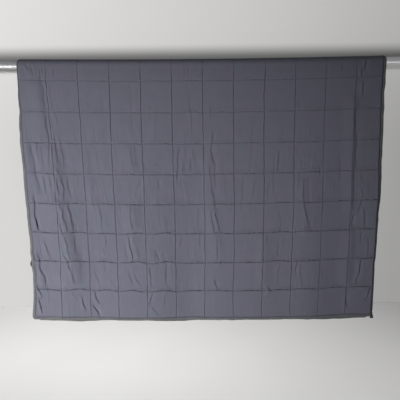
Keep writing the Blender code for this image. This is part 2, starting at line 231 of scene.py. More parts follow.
def hemMargins():
    return [float(marginAlong(np.full(1, end))[0]) for end in (0.0, blanket["along"])]


# Draws a place near one of the four corners in, onto the corner's arc
def roundCorner(p, q):
    across = blanket["margin"] / blanket["squareAcross"]
    along = marginAlong(q)
    left = p < blanket["across"] / 2
    front = q < blanket["front"]
    outP = 1 - np.where(left, p, blanket["across"] - p) / across
    outQ = 1 - np.where(front, q, blanket["along"] - q) / along
    near = (outP > 0) & (outQ > 0)
    shrink = np.where(near, np.maximum(outP, outQ) / np.where(near, np.hypot(outP, outQ), 1), 1.0)
    newP = across * (1 - outP * shrink)
    newQ = along * (1 - outQ * shrink)
    newP = np.where(left, newP, blanket["across"] - newP)
    newQ = np.where(front, newQ, blanket["along"] - newQ)
    return np.where(near, newP, p), np.where(near, newQ, q)


# Small rises and dips of the seams across, between their crossings, as down: (p, rise in squares)
seamBows = {
    3: ((0.6, 0.012), (3.5, 0.010), (9.6, 0.012)),
    4: ((1.6, 0.020), (3.6, 0.012), (5.4, -0.028), (8.6, 0.014)),
    5: ((1.7, 0.030), (3.75, 0.050), (4.7, 0.048), (6.4, 0.020), (8.6, 0.022), (9.5, 0.026)),
    6: ((1.55, 0.040), (2.5, 0.030), (3.7, 0.056), (4.75, 0.056), (5.5, -0.030), (8.5, 0.030),
        (11.6, -0.03)),
    7: ((0.5, 0.020), (1.62, 0.050), (2.6, 0.045), (3.5, 0.060), (4.6, 0.050), (6.5, 0.018), (9.5, 0.02)),
}
seamBowShape = {"rows": 0.5, "squares": 0.26, "square": 0.1}


def seamBow(p, q):
    down = blanket["front"] - 1 - q
    total = np.zeros_like(p)
    for row, bumps in seamBows.items():
        near = smoothStep(1 - np.abs(down - row) / seamBowShape["rows"])
        for place, rise in bumps:
            beside = (p - place) / seamBowShape["squares"]
            total += near * rise * np.exp(-beside ** 2) * seamBowShape["square"]
    return total


# How the bound edges curl back from the front, in degrees at each seam across from the hem up
edgeCurl = {
    "left": (5, 12, 15, 15, 15, 15, 18, 40, 74, 74),
    "right": (40, 50, 50, 48, 40, 20, 12, 5, 5, 12),
    "fade": 1.5,             # rows past the middle seam over which it ends
    "turnWidth": 0.0012,     # way over which the strip's face turns
}
# How far the hems ride up, in mm, at the places across
hemRise = {
    "places": (0, 1.2, 4, 5.5, 7, 8.5, 12),
    "front": (2.6, 3.0, 3.0, 2.6, 1.6, 0.0, 0.0),
    "back": (15.0, 9.0, 7.0, 6.4, 5.0, 5.0, 6.5),
    "frontReach": 1.2,       # rows above the front hem that ride up with it
    "backStart": 16.6,
    "backReach": 1.4,
}


def curlAngle(p, q):
    row = np.clip(q, 0, blanket["front"])
    left = alongTable(edgeCurl["left"], row) * 1000
    right = alongTable(edgeCurl["right"], row) * 1000
    fade = 1 - smoothStep((q - blanket["front"]) / edgeCurl["fade"])
    return np.radians(np.where(p < blanket["across"] / 2, left, right)) * fade


def hemShift(p, q):
    nearFront = smoothStep((hemRise["frontReach"] - q) / hemRise["frontReach"])
    nearBack = smoothStep((q - hemRise["backStart"]) / hemRise["backReach"])
    front = np.interp(p, hemRise["places"], hemRise["front"]) * nearFront
    back = np.interp(p, hemRise["places"], hemRise["back"]) * nearBack
    return (front + back) / 1000


# The point at p, q on the hung cloth, at the distance out from its middle layer
def hang(p, q, out):
    p, q = np.broadcast_arrays(np.asarray(p, float), np.asarray(q, float))
    p, q = roundCorner(p, q)
    # the edge strip turns back about its seam, and the cloth beside it moves out to meet it
    hinge = blanket["margin"] / blanket["squareAcross"]
    toEdge = np.minimum(p, blanket["across"] - p)
    curl = curlAngle(p, q)
    strip = np.maximum(hinge - toEdge, 0) * blanket["squareAcross"]
    side = np.where(p < blanket["across"] / 2, -1.0, 1.0)
    turned = curl * smoothStep(strip / edgeCurl["turnWidth"])
    spread = blanket["spread"] * (1 - smoothStep((q - blanket["front"]) / edgeCurl["fade"]))
    outward = (blanket["margin"] * (1 - np.cos(curl)) + spread) * np.clip(1 - (toEdge - hinge), 0, 1)
    curlX = side * (outward - strip * (1 - np.cos(curl)) + out * np.sin(turned))
    curlY = strip * np.sin(curl) + out * (1 - np.cos(turned))
    fromMiddle = (p - blanket["across"] / 2) * blanket["squareAcross"]
    x = rod["length"] / 2 + fromMiddle + sideways(p, q) + curlX
    axis = rodHeight(x)
    run = runAt(q) + lift(p, q)
    radius = blanket["overRod"]
    over = math.pi * radius
    down = blanket["front"] - 1 - q
    frontOut = out + slowWave(x, -run, 0.0) + ridgeHeight(p, down)
    backOut = out + slowWave(x, run - over, waveShape["backTurn"])
    angle = np.clip(run / radius, 0, math.pi)
    reach = radius + out
    onFront = run <= 0
    onBack = run >= over
    y = np.where(onFront, -radius - frontOut, np.where(onBack, radius + backOut, -reach * np.cos(angle)))
    z = np.where(onFront, axis + run + seamBow(p, q),
                 np.where(onBack, axis - (run - over), axis + reach * np.sin(angle)))
    # towards the rod on either side of it
    inwards = np.where(onFront, 1.0, np.where(onBack, -1.0, 0.0)) * curlY
    level = np.where(onFront | onBack, 0.0, curlY)
    y = y + inwards + level * np.cos(angle)
    z = z - level * np.sin(angle) + hemShift(p, q)
    return np.stack([x, y, z], -1)


# Creases pressed into the front, each a line of places (p, down) from its top: how deep in mm,
# then +1 where the cloth stands proud left of the line, -1 where it sinks to the right, 0 for both
creases = (
    # first column
    (1.3, -1, ((0.83, 0.12), (0.88, 0.25), (0.90, 0.35), (0.86, 0.60), (0.88, 0.80), (0.90, 1.00))),
    (2.2, 0, ((0.87, 1.05), (0.89, 1.25), (0.87, 1.45), (0.91, 1.75), (0.91, 2.00), (0.89, 2.55),
              (0.88, 2.80))),
    (1.2, 0, ((0.47, 1.45), (0.45, 1.80))),
    (2.3, -1, ((0.32, 2.05), (0.34, 2.35), (0.385, 2.50), (0.39, 2.70), (0.40, 3.00), (0.44, 3.20),
               (0.48, 3.35), (0.52, 3.60))),
    (2.0, 1, ((0.54, 2.00), (0.54, 2.30))),
    (1.8, 0, ((0.66, 2.10), (0.66, 2.90))),
    (3.2, 0, ((0.64, 3.10), (0.67, 3.30), (0.68, 3.50), (0.72, 3.70))),
    (2.7, 0, ((0.86, 3.05), (0.86, 3.35), (0.83, 3.50))),
    (3.7, 0, ((0.25, 3.75), (0.28, 3.90), (0.30, 4.05), (0.27, 4.25), (0.26, 4.45), (0.30, 4.60),
              (0.32, 4.75), (0.34, 4.95))),
    (3.4, 1, ((0.50, 5.30), (0.51, 5.40), (0.55, 5.50), (0.58, 5.65), (0.63, 5.80), (0.68, 5.95))),
    (3.9, 0, ((0.19, 5.70), (0.23, 5.75), (0.27, 5.90), (0.29, 6.00), (0.29, 6.20), (0.31, 6.35),
              (0.37, 6.45), (0.43, 6.55), (0.44, 6.70), (0.44, 6.95))),
    (3.7, 1, ((0.12, 5.80), (0.14, 5.95), (0.18, 6.00))),
    (1.7, 0, ((0.50, 6.75), (0.52, 7.03), (0.55, 7.50))),
    (4.2, 1, ((0.10, 6.80), (0.17, 6.95), (0.22, 7.05), (0.28, 7.15), (0.32, 7.30))),
    (5.6, 1, ((0.10, 7.30), (0.18, 7.33), (0.22, 7.40), (0.27, 7.55), (0.31, 7.70), (0.33, 7.80))),
    (3.7, 0, ((0.29, 4.50), (0.31, 4.70), (0.34, 4.97))),
    (2.9, 1, ((0.13, 6.10), (0.15, 6.30), (0.13, 6.60), (0.15, 6.85))),
    # second column, the long bundle of pleats
    (0.9, 1, ((1.06, 0.10), (1.10, 0.60), (1.13, 0.85), (1.17, 1.00))),
    (1.3, 1, ((1.16, 0.95), (1.20, 1.10), (1.24, 1.22), (1.23, 1.45), (1.25, 1.60))),
    (1.8, 1, ((1.07, 1.53), (1.12, 1.60), (1.19, 1.68), (1.23, 1.80), (1.28, 1.95), (1.28, 2.10),
              (1.30, 2.20), (1.33, 2.35), (1.36, 2.45), (1.33, 2.90))),
    (2.4, 0, ((1.09, 1.68), (1.08, 1.85), (1.10, 2.00), (1.12, 2.15), (1.14, 2.30), (1.16, 2.50),
              (1.14, 2.70))),
    (1.4, 0, ((1.24, 2.40), (1.24, 3.00))),
    (2.2, 1, ((1.10, 2.82), (1.13, 2.90), (1.17, 3.00))),
    (3.2, 1, ((1.04, 3.15), (1.07, 3.25), (1.08, 3.50), (1.11, 3.57), (1.12, 3.75))),
    (3.0, 1, ((1.22, 3.05), (1.24, 3.30), (1.28, 3.40), (1.30, 3.50), (1.28, 3.70), (1.26, 3.90))),
    (0.7, 0, ((1.38, 3.05), (1.38, 3.20))),
    (2.6, 0, ((1.43, 3.05), (1.42, 3.40), (1.45, 3.55), (1.48, 3.65), (1.47, 3.85))),
    (0.7, 0, ((1.77, 3.10), (1.77, 3.50))),
    (2.4, 1, ((1.10, 3.97), (1.10, 4.10), (1.13, 4.25))),
    (3.2, 1, ((1.20, 4.10), (1.20, 4.25), (1.19, 4.45), (1.24, 4.60), (1.29, 4.70), (1.31, 4.85),
              (1.33, 5.00))),
    (3.2, 1, ((1.37, 4.00), (1.39, 4.15), (1.43, 4.30), (1.47, 4.42), (1.46, 4.50), (1.49, 4.65),
              (1.52, 4.80), (1.50, 4.97))),
    (0.8, 0, ((1.62, 4.20), (1.60, 4.35), (1.65, 4.45), (1.68, 4.60), (1.63, 4.75))),
    (3.4, 1, ((1.02, 4.65), (1.07, 4.75), (1.09, 4.85), (1.14, 5.00), (1.15, 5.10))),
    (3.8, 1, ((1.20, 5.10), (1.24, 5.20), (1.25, 5.30), (1.29, 5.40), (1.28, 5.60), (1.31, 5.70),
              (1.33, 5.80), (1.36, 5.95))),
    (2.2, -1, ((1.51, 5.10), (1.55, 5.20), (1.54, 5.40), (1.54, 5.60), (1.57, 5.75))),
    (3.6, 0, ((1.07, 5.65), (1.12, 5.78), (1.19, 5.90), (1.24, 6.00), (1.27, 6.15), (1.33, 6.25),
              (1.38, 6.35), (1.44, 6.60), (1.46, 6.75))),
    (2.2, 1, ((1.37, 6.15), (1.42, 6.25), (1.44, 6.40))),
    (0.8, 0, ((1.22, 6.50), (1.26, 6.65), (1.33, 6.80))),
    (0.7, 0, ((1.69, 6.10), (1.69, 6.80))),
    (1.5, 0, ((1.38, 7.05), (1.40, 7.15), (1.47, 7.20), (1.47, 7.30))),
    (4.0, 0, ((1.69, 7.20), (1.72, 7.30), (1.74, 7.45), (1.78, 7.55), (1.83, 7.63), (1.88, 7.70))),
    # third
    (0.7, -1, ((2.72, 0.35), (2.76, 1.00))),
    (0.6, 0, ((2.30, 0.30), (2.30, 0.90))),
    (0.8, 0, ((2.17, 2.70), (2.17, 3.00))),
    (0.8, 0, ((2.50, 2.80), (2.50, 2.95))),
    (1.5, 0, ((2.25, 3.40), (2.27, 3.60), (2.24, 3.80), (2.25, 4.00), (2.27, 4.10), (2.30, 4.25))),
    (1.3, 0, ((2.37, 3.80), (2.37, 3.95))),
    (0.7, 0, ((2.90, 3.10), (2.90, 3.30))),
    (2.2, 0, ((2.44, 4.05), (2.47, 4.20), (2.50, 4.35), (2.53, 4.50), (2.50, 4.70), (2.50, 4.85),
              (2.55, 4.90), (2.60, 5.00))),
    (2.8, 0, ((2.62, 5.05), (2.63, 5.30), (2.60, 5.50))),
    (0.8, 0, ((2.76, 5.10), (2.74, 5.40))),
    (0.8, 0, ((2.52, 5.50), (2.57, 5.75))),
    (0.8, 0, ((2.42, 5.80), (2.42, 6.00))),
    (1.5, -1, ((2.55, 6.05), (2.54, 6.35))),
    (2.2, 0, ((2.15, 6.30), (2.20, 6.45), (2.27, 6.60), (2.30, 6.75))),
    (4.4, 0, ((2.13, 7.00), (2.17, 7.10), (2.20, 7.25), (2.27, 7.35), (2.32, 7.45))),
    (5.4, -1, ((2.03, 7.45), (2.10, 7.55), (2.18, 7.65), (2.25, 7.75), (2.27, 7.90))),
    # fourth
    (0.8, -1, ((3.66, 0.05), (3.68, 0.60), (3.70, 1.60))),
    (0.8, 0, ((3.12, 2.10), (3.12, 2.40))),
    (1.4, 0, ((3.62, 2.05), (3.64, 2.50), (3.65, 2.90))),
    (1.4, 0, ((3.76, 2.00), (3.75, 2.30), (3.72, 2.40))),
    (1.4, -1, ((3.78, 2.50), (3.76, 2.70))),
    (1.2, 0, ((3.87, 3.05), (3.85, 3.30), (3.80, 3.40), (3.74, 3.50), (3.72, 3.70), (3.65, 3.85))),
    (0.8, 0, ((3.54, 3.70), (3.54, 3.95))),
    (1.4, 0, ((3.10, 3.90), (3.17, 4.00))),
    (0.8, 0, ((3.18, 4.10), (3.18, 4.35))),
    (2.0, -1, ((3.55, 4.05), (3.53, 4.30), (3.53, 4.60), (3.56, 4.80), (3.54, 4.92))),
    (0.8, 0, ((3.66, 4.10), (3.66, 4.30))),
    (4.2, 0, ((3.40, 5.10), (3.43, 5.25), (3.46, 5.45), (3.50, 5.60), (3.52, 5.85), (3.50, 6.00))),
    (2.2, 1, ((3.55, 5.10), (3.60, 5.25), (3.65, 5.35))),
    (0.8, 0, ((3.28, 5.30), (3.28, 5.95))),
    (1.0, -1, ((3.72, 5.30), (3.74, 5.95))),
    (1.3, 0, ((3.27, 6.05), (3.27, 6.30))),
    (2.2, 0, ((3.36, 6.30), (3.40, 6.45), (3.47, 6.60), (3.49, 6.80))),
    (2.2, 0, ((3.58, 6.10), (3.56, 6.30), (3.60, 6.50), (3.64, 6.60), (3.75, 6.75), (3.85, 6.85))),
    (1.2, 1, ((3.62, 6.10), (3.68, 6.30), (3.74, 6.45))),
    (0.8, 0, ((3.86, 6.10), (3.86, 6.40))),
    # fifth
    (0.8, 0, ((4.30, 0.85), (4.28, 1.15))),
    (0.8, 0, ((4.50, 1.10), (4.50, 1.30))),
    (0.8, 1, ((4.44, 1.05), (4.42, 1.90))),
    (1.4, 0, ((4.17, 3.05), (4.20, 3.30))),
    (2.2, -1, ((4.50, 3.15), (4.48, 3.30), (4.49, 3.45))),
    (1.3, 0, ((4.24, 5.05), (4.24, 5.20))),
    (0.8, 0, ((4.85, 5.05), (4.85, 5.40))),
    (3.8, 0, ((4.20, 5.55), (4.27, 5.60), (4.35, 5.70), (4.38, 5.80), (4.44, 5.90))),
    (3.0, 0, ((4.22, 5.68), (4.30, 5.80), (4.37, 5.93))),
    (2.4, 0, ((4.48, 5.72), (4.53, 5.80), (4.57, 5.90))),
    (2.6, 0, ((4.09, 6.10), (4.10, 6.35), (4.13, 6.50), (4.12, 6.70), (4.15, 6.85))),
    (2.2, -1, ((4.70, 6.00), (4.66, 6.15), (4.65, 6.40), (4.64, 6.60), (4.66, 6.80))),
    (4.2, 0, ((4.20, 7.05), (4.13, 7.20), (4.07, 7.35), (4.03, 7.45))),
    (2.4, 0, ((4.05, 7.48), (4.15, 7.55), (4.25, 7.65), (4.35, 7.75), (4.45, 7.80))),
    (1.5, 1, ((4.66, 7.00), (4.62, 7.20), (4.58, 7.40), (4.56, 7.60))),
    # sixth
    (0.8, -1, ((5.50, 0.08), (5.51, 0.85))),
    (1.4, 0, ((5.56, 0.40), (5.58, 0.90), (5.63, 1.10), (5.63, 1.70))),
    (2.2, 0, ((5.25, 2.10), (5.17, 2.30), (5.15, 2.80), (5.12, 3.00), (5.10, 3.30))),
    (2.8, 0, ((5.32, 2.67), (5.30, 2.90), (5.28, 3.00))),
    (2.8, 0, ((5.55, 2.50), (5.57, 2.75), (5.58, 2.90))),
    (1.8, 0, ((5.25, 3.10), (5.20, 3.40))),
    (1.6, 0, ((5.33, 3.15), (5.33, 3.30))),
    (0.8, 0, ((5.90, 3.05), (5.87, 3.35))),
    (1.5, 0, ((5.42, 2.08), (5.40, 2.50))),
    (1.4, 0, ((5.64, 2.10), (5.67, 2.60))),
    (1.2, 0, ((5.72, 2.20), (5.73, 2.85))),
    (0.8, 0, ((5.52, 3.70), (5.44, 3.95))),
    (0.8, 0, ((5.10, 4.25), (5.07, 4.40))),
    (1.4, 0, ((5.80, 4.10), (5.78, 4.40), (5.76, 4.80))),
    (1.4, 0, ((5.22, 5.10), (5.18, 5.30), (5.10, 5.50))),
    (2.2, 0, ((5.82, 5.05), (5.82, 5.45))),
    (0.8, 0, ((5.73, 5.10), (5.73, 5.40))),
    # seventh
    (1.3, 0, ((6.25, 0.75), (6.24, 1.00), (6.25, 1.20))),
    (2.1, 0, ((6.34, 1.60), (6.30, 1.80), (6.27, 2.00), (6.24, 2.20), (6.26, 2.35), (6.30, 2.50),
              (6.33, 2.65))),
    (1.5, 0, ((6.34, 2.55), (6.37, 2.70), (6.38, 2.80), (6.35, 3.00), (6.36, 3.30), (6.38, 3.50))),
    (1.8, -1, ((6.20, 2.65), (6.19, 2.85), (6.21, 3.00), (6.23, 3.20), (6.25, 3.35), (6.26, 3.50),
               (6.29, 3.65), (6.32, 3.80), (6.33, 3.95), (6.34, 4.10), (6.36, 4.20))),
    (0.7, 0, ((6.50, 1.90), (6.50, 2.40))),
    (0.8, 0, ((6.72, 3.10), (6.73, 3.30), (6.70, 3.60), (6.68, 3.85))),
    (3.0, 0, ((6.24, 4.20), (6.22, 4.35), (6.24, 4.55), (6.28, 4.70), (6.31, 4.85), (6.34, 5.00))),
    (2.8, 1, ((6.34, 4.20), (6.37, 4.40), (6.42, 4.55), (6.46, 4.70), (6.50, 4.90), (6.52, 5.00))),
    (0.8, 0, ((6.58, 4.40), (6.58, 4.55))),
    (0.8, 0, ((6.88, 4.05), (6.88, 4.30))),
    (2.2, 0, ((6.42, 5.10), (6.42, 5.95))),
    (1.3, 1, ((6.53, 5.10), (6.53, 5.50))),
    (1.3, 0, ((6.55, 5.90), (6.55, 6.15))),
    (1.3, 0, ((6.10, 6.05), (6.10, 6.40))),
    (3.4, 0, ((6.35, 6.60), (6.38, 6.75), (6.42, 6.85), (6.45, 6.95))),
    (0.8, 0, ((6.35, 7.30), (6.38, 7.50), (6.43, 7.70))),
    # eighth and ninth
    (0.8, 0, ((7.65, 1.35), (7.63, 1.50), (7.60, 1.70), (7.58, 1.90), (7.57, 2.50), (7.56, 2.95))),
    (1.4, 0, ((7.30, 3.10), (7.28, 3.40), (7.27, 3.60), (7.24, 3.90), (7.21, 4.25))),
    (1.4, 0, ((7.72, 3.20), (7.67, 3.35), (7.66, 3.50), (7.60, 3.80))),
    (0.8, 0, ((7.22, 5.20), (7.30, 5.50))),
    (0.8, 0, ((8.60, 1.75), (8.58, 1.92))),
    (2.6, 0, ((8.50, 2.25), (8.49, 2.40), (8.48, 2.60), (8.45, 2.80), (8.45, 2.95))),
    (1.4, 0, ((8.35, 2.50), (8.34, 2.70), (8.32, 3.00), (8.30, 3.30), (8.31, 3.50), (8.30, 3.70))),
    (1.4, 0, ((8.20, 3.20), (8.18, 3.35), (8.12, 3.60), (8.10, 3.80))),
    (1.0, 0, ((8.50, 4.20), (8.53, 4.40), (8.57, 4.60), (8.60, 4.85))),
    (3.0, 0, ((8.53, 4.85), (8.58, 4.95))),
    (1.4, 0, ((8.14, 5.00), (8.12, 5.30), (8.08, 5.50))),
    (0.8, 0, ((8.70, 5.10), (8.70, 5.60))),
    (2.0, 0, ((8.53, 5.40), (8.50, 5.60), (8.52, 5.95))),
    (1.3, 0, ((8.38, 5.75), (8.38, 6.00))),
    (1.4, 0, ((8.60, 6.10), (8.58, 6.25), (8.53, 6.40), (8.54, 6.60), (8.55, 6.85))),
    (3.4, 1, ((8.10, 6.85), (8.20, 6.90), (8.27, 6.97), (8.35, 7.00))),
    (3.6, 1, ((8.30, 7.05), (8.22, 7.12), (8.15, 7.18))),
    # tenth and eleventh
    (1.3, 0, ((9.10, 0.70), (9.10, 0.95))),
    (1.4, 0, ((9.08, 2.20), (9.08, 2.35))),
    (1.4, 0, ((9.22, 2.50), (9.25, 2.60), (9.26, 2.80), (9.20, 3.00), (9.17, 3.30), (9.15, 3.60))),
    (2.6, 0, ((9.78, 2.90), (9.78, 3.10))),
    (2.6, 0, ((9.88, 2.90), (9.88, 3.15))),
    (2.3, 0, ((9.33, 3.25), (9.34, 3.40), (9.33, 3.60), (9.33, 3.75), (9.35, 4.00), (9.37, 4.15),
              (9.41, 4.30), (9.45, 4.42), (9.50, 4.57), (9.53, 4.70), (9.57, 4.90))),
    (0.8, 0, ((9.46, 3.10), (9.48, 3.30), (9.50, 3.90))),
    (1.4, 0, ((9.10, 4.80), (9.10, 5.15))),
    (2.8, -1, ((9.18, 5.93), (9.20, 6.05), (9.17, 6.20), (9.15, 6.30), (9.12, 6.50))),
    (1.4, 0, ((9.27, 6.00), (9.32, 6.30), (9.33, 6.50), (9.38, 6.70), (9.40, 6.85))),
    (0.8, 0, ((9.78, 6.10), (9.78, 6.25))),
    (1.4, 0, ((9.16, 7.00), (9.15, 7.20))),
    (1.4, 0, ((10.53, 2.55), (10.57, 2.80), (10.57, 3.40))),
    (1.4, 0, ((10.10, 6.30), (10.10, 6.70))),
    # twelfth
    (5.2, 0, ((11.30, -0.50), (11.28, -0.35), (11.25, -0.15))),
    (4.6, 0, ((11.15, -0.25), (11.15, 0.00))),
    (4.6, 0, ((11.20, 0.15), (11.24, 0.30), (11.24, 0.50), (11.20, 0.62))),
    (2.6, 0, ((11.08, 1.75), (11.12, 2.00), (11.10, 2.40), (11.12, 2.70), (11.15, 2.95))),
    (0.8, 0, ((11.33, 3.10), (11.35, 3.50))),
    (2.6, 0, ((11.28, 3.55), (11.35, 3.75), (11.42, 3.90))),
    (4.6, 0, ((11.35, 4.00), (11.32, 4.10), (11.28, 4.25), (11.23, 4.40), (11.20, 4.50))),
    (4.4, -1, ((11.11, 4.40), (11.09, 4.55), (11.07, 4.75), (11.05, 4.90))),
    (2.4, 0, ((11.40, 4.20), (11.45, 4.40), (11.49, 4.65), (11.50, 4.90))),
    (2.8, -1, ((11.40, 5.10), (11.38, 5.30), (11.35, 5.50))),
    (1.2, 0, ((11.49, 5.10), (11.49, 5.40))),
    (2.6, 0, ((11.63, 5.30), (11.65, 5.60), (11.66, 5.95))),
    (6.0, 0, ((11.45, 6.05), (11.43, 6.20), (11.42, 6.40), (11.42, 6.50), (11.38, 6.60), (11.33, 6.70),
              (11.30, 6.85))),
    (0.8, 0, ((11.62, 6.15), (11.55, 6.40))),
    (3.0, 0, ((11.00, 7.13), (11.12, 7.08), (11.22, 7.00))),
    (4.4, 0, ((11.00, 7.25), (11.00, 7.45), (11.05, 7.60), (11.10, 7.68))),
    (7.0, 0, ((11.82, 7.00), (11.78, 7.15), (11.73, 7.30), (11.67, 7.42))),
    (2.8, -1, ((11.04, 1.0), (11.04, 1.6), (11.05, 2.4), (11.05, 3.3), (11.04, 4.3))),
    (1.4, 0, ((11.30, 3.05), (11.31, 3.4))),
    (2.2, 0, ((11.45, 4.65), (11.50, 4.95))),
    # gathers where the cloth turns over the rod
    (3.8, 0, ((0.37, -0.46), (0.44, -0.30))),
    (2.6, 0, ((0.52, -0.46), (0.57, -0.25), (0.61, -0.05))),
    (2.4, 0, ((0.66, -0.46), (0.68, -0.25), (0.72, -0.02))),
    (1.8, 0, ((0.80, -0.35), (0.82, -0.10), (0.85, 0.10))),
    (1.2, 0, ((0.50, -0.45), (0.50, -0.02))),
    (1.2, 0, ((0.56, -0.45), (0.57, -0.10))),
    (1.3, 0, ((0.63, -0.45), (0.62, -0.05))),
    (1.3, 0, ((0.70, -0.45), (0.70, -0.15))),
    (1.6, 0, ((0.76, -0.45), (0.77, -0.02))),
    (1.5, 0, ((0.82, -0.45), (0.84, -0.05))),
    (1.8, 0, ((0.89, -0.45), (0.91, -0.10))),
    (1.5, 0, ((1.24, -0.37), (1.24, -0.10))),
    (1.5, 0, ((5.43, -0.40), (5.43, -0.15))),
    (1.5, 0, ((5.53, -0.45), (5.53, -0.15))),
    (1.5, 0, ((10.50, -0.40), (10.50, -0.15))),
)
creaseShape = {
    "scale": 0.60,           # of every depth above
    "wall": 1.9,             # half width of a crease's steep side, mm
    "slope": 12.0,           # reach of its gentle side, mm
    "fade": 16.0,            # over which its ends die away, mm
    "fadeShare": 0.4,        # of a short crease's length, for the same
    "past": 3,               # how far past its ends it runs out, mm
    "square": (99.4, 101.3),     # width and height of a square of the front, mm
    "step": 2.5,             # from point to point of its line, mm
    "edge": 0.095,           # strip without creases at the sides and the hem, in squares
    "edgeFade": 0.035,
    "hemFade": 0.06,
}


# A smooth line through places in squares, as points in mm
def smoothLine(places):
    points = np.array(places, float) * creaseShape["square"]
    points = np.vstack([2 * points[0] - points[1], points, 2 * points[-1] - points[-2]])
    line = []
    for a, b, c, d in zip(points, points[1:], points[2:], points[3:]):
        steps = max(2, int(np.linalg.norm(c - b) / creaseShape["step"]))
        for t in np.arange(steps) / steps:
            line.append(0.5 * (2 * b + (c - a) * t + (2 * a - 5 * b + 4 * c - d) * t ** 2
                               + (3 * b - a - 3 * c + d) * t ** 3))
    line.append(points[-2])
    return np.array(line)


# For each crease: the places it reaches, how far beside its line they are, and how alive it is there
def creaseReach(p, down, reach):
    width, height = creaseShape["square"]
    place = np.stack([p * width, down * height], -1)
    for depth, side, places in creases:
        line = smoothLine(places)
        inside = np.all((place > line.min(0) - reach) & (place < line.max(0) + reach), -1)
        if not inside.any():
            continue
        here = place[inside]
        nearest = ((here[:, None, :] - line[None]) ** 2).sum(-1).argmin(1)
        tangent = np.gradient(line, axis=0)
        tangent /= np.linalg.norm(tangent, axis=1)[:, None]
        along = np.concatenate([[0], np.cumsum(np.linalg.norm(np.diff(line, axis=0), axis=1))])
        off = here - line[nearest]
        t = tangent[nearest]
        # right of a line drawn downwards is positive
        beside = off[:, 0] * t[:, 1] - off[:, 1] * t[:, 0]
        onward = along[nearest] + (off * t).sum(1)
        ends = min(creaseShape["fade"], along[-1] * creaseShape["fadeShare"])
        past = creaseShape["past"]
        alive = smoothStep((onward + past) / ends) * smoothStep((along[-1] + past - onward) / ends)
        yield depth, side, inside, beside, alive


def creaseHeight(p, down):
    total = np.zeros(p.shape)
    wall, slope = creaseShape["wall"], creaseShape["slope"]
    for depth, side, inside, beside, alive in creaseReach(p, down, wall + slope):
        across = smoothStep((beside + wall) / (2 * wall))
        before = smoothStep((beside + wall + slope) / slope) * (1 - across)
        after = across * (1 - smoothStep((beside - wall) / slope))
        total[inside] += depth * alive * (before * (1 + side) / 2 - after * (1 - side) / 2)
    return total * creaseShape["scale"] / 1000


# Distance to the nearest seam in metres, and the share of the way across the square
def seamDistance(place, count, marginLow, marginHigh, pitch):
    low = np.where(place < 1, marginLow, np.floor(place))
    high = np.where(place >= count - 1, count - marginHigh, np.floor(place) + 1)
    share = np.clip((place - low) / (high - low), 0, 1)
    near = np.minimum(place - low, high - place) * pitch
    return np.maximum(near, 0), share


def onRod(q):
    run = runAt(q)
    over = math.pi * blanket["overRod"]
    return smoothStep(1 + np.minimum(run, over - run) / blanket["rodFade"])


# The section of a square, in metres beside its seams: it steps down steeply to the right at its upright
# seams, softly at the left, and its beads push it out just above the seam under it
squareShape = {
    "offset": 0.011,         # of the upright steps from their seams, in squares
    "leftPower": 1.5,
    "rightDepth": 0.8,
    "rightWidth": 0.0011,
    "levelPower": 1.3,
    "levelLean": 0.4,        # share of the way across where the lean is nought
    "sagReach": 0.009,
}
# The cloth pushed up left of an upright seam, as a wide and a narrow part, and the seam that has less
lipShape = {
    "wide": 0.60,
    "wideReach": 0.018,
    "narrow": 0.42,
    "narrowReach": 0.0042,
    "start": 0.0012,
    "softSeam": 10,
    "softReach": 0.3,
    "softLoss": 0.6,
    "uneven": 0.22,
    "unevenOffset": 0.4,
    "limits": (0.5, 1.4),
}


def lipHeight(p, q, beside):
    reach = lipShape["wide"] * np.exp(-beside / lipShape["wideReach"])
    height = reach + lipShape["narrow"] * np.exp(-(beside / lipShape["narrowReach"]) ** 2)
    soft = np.exp(-((p - lipShape["softSeam"]) / lipShape["softReach"]) ** 2)
    height = height * (1 - np.exp(-(beside / lipShape["start"]) ** 2)) * (1 - lipShape["softLoss"] * soft)
    uneven = lipShape["uneven"] * wanderAt(wanderAcross, p, q + lipShape["unevenOffset"])
    return height * np.clip(1 + uneven, *lipShape["limits"])


# How far the squares stand proud of their seams
def fullness(p, q, rise, puff):
    marginP = blanket["margin"] / blanket["squareAcross"]
    marginQ = hemMargins()
    besideP, shareP = seamDistance(p - squareShape["offset"], blanket["across"], marginP, marginP,
                                   blanket["squareAcross"])
    besideQ, shareQ = seamDistance(q, blanket["along"], *marginQ, blanket["squareFront"])
    width = blanket["grooveWidth"]
    leftOfSeam = shareP > 0.5
    rightWall = 1 - squareShape["rightDepth"] * np.exp(-(besideP / squareShape["rightWidth"]) ** 2)
    wallP = np.where(leftOfSeam, 1 - np.exp(-(besideP / width) ** squareShape["leftPower"]), rightWall)
    wallQ = 1 - np.exp(-(besideQ / width) ** squareShape["levelPower"])
    slow = (1 - np.abs(2 * shareP - 1) ** 3) * (1 - np.abs(2 * shareQ - 1) ** 3)
    lip = leftOfSeam * lipHeight(p, q, besideP)
    onward = q <= blanket["front"]
    sag = np.exp(-(besideQ / squareShape["sagReach"]) ** 2) * (onward == (shareQ < 0.5))
    lean = blanket["lean"] * (smoothStep(shareP) - squareShape["levelLean"])
    pushed = blanket["lip"] * lip + blanket["sag"] * sag * wallP
    return (rise + lean) * wallP * wallQ + puff * slow + pushed * wallQ


# Small gathers that hang from the seams across, sizes in squares
gatherShape = {
    "seed": 4127,
    "strength": (0.08, 0.09, 0.12, 0.15, 0.19, 0.24, 0.25, 0.20, 0.08),     # in mm, at each seam
    "bunches": 22,           # at each seam, of three gathers each
    "bunchWidth": 0.16,
    "width": (0.040, 0.085),
    "length": (0.20, 0.85),
    "aboveShare": 0.55,      # how many hang upwards
    "start": 0.03,
}


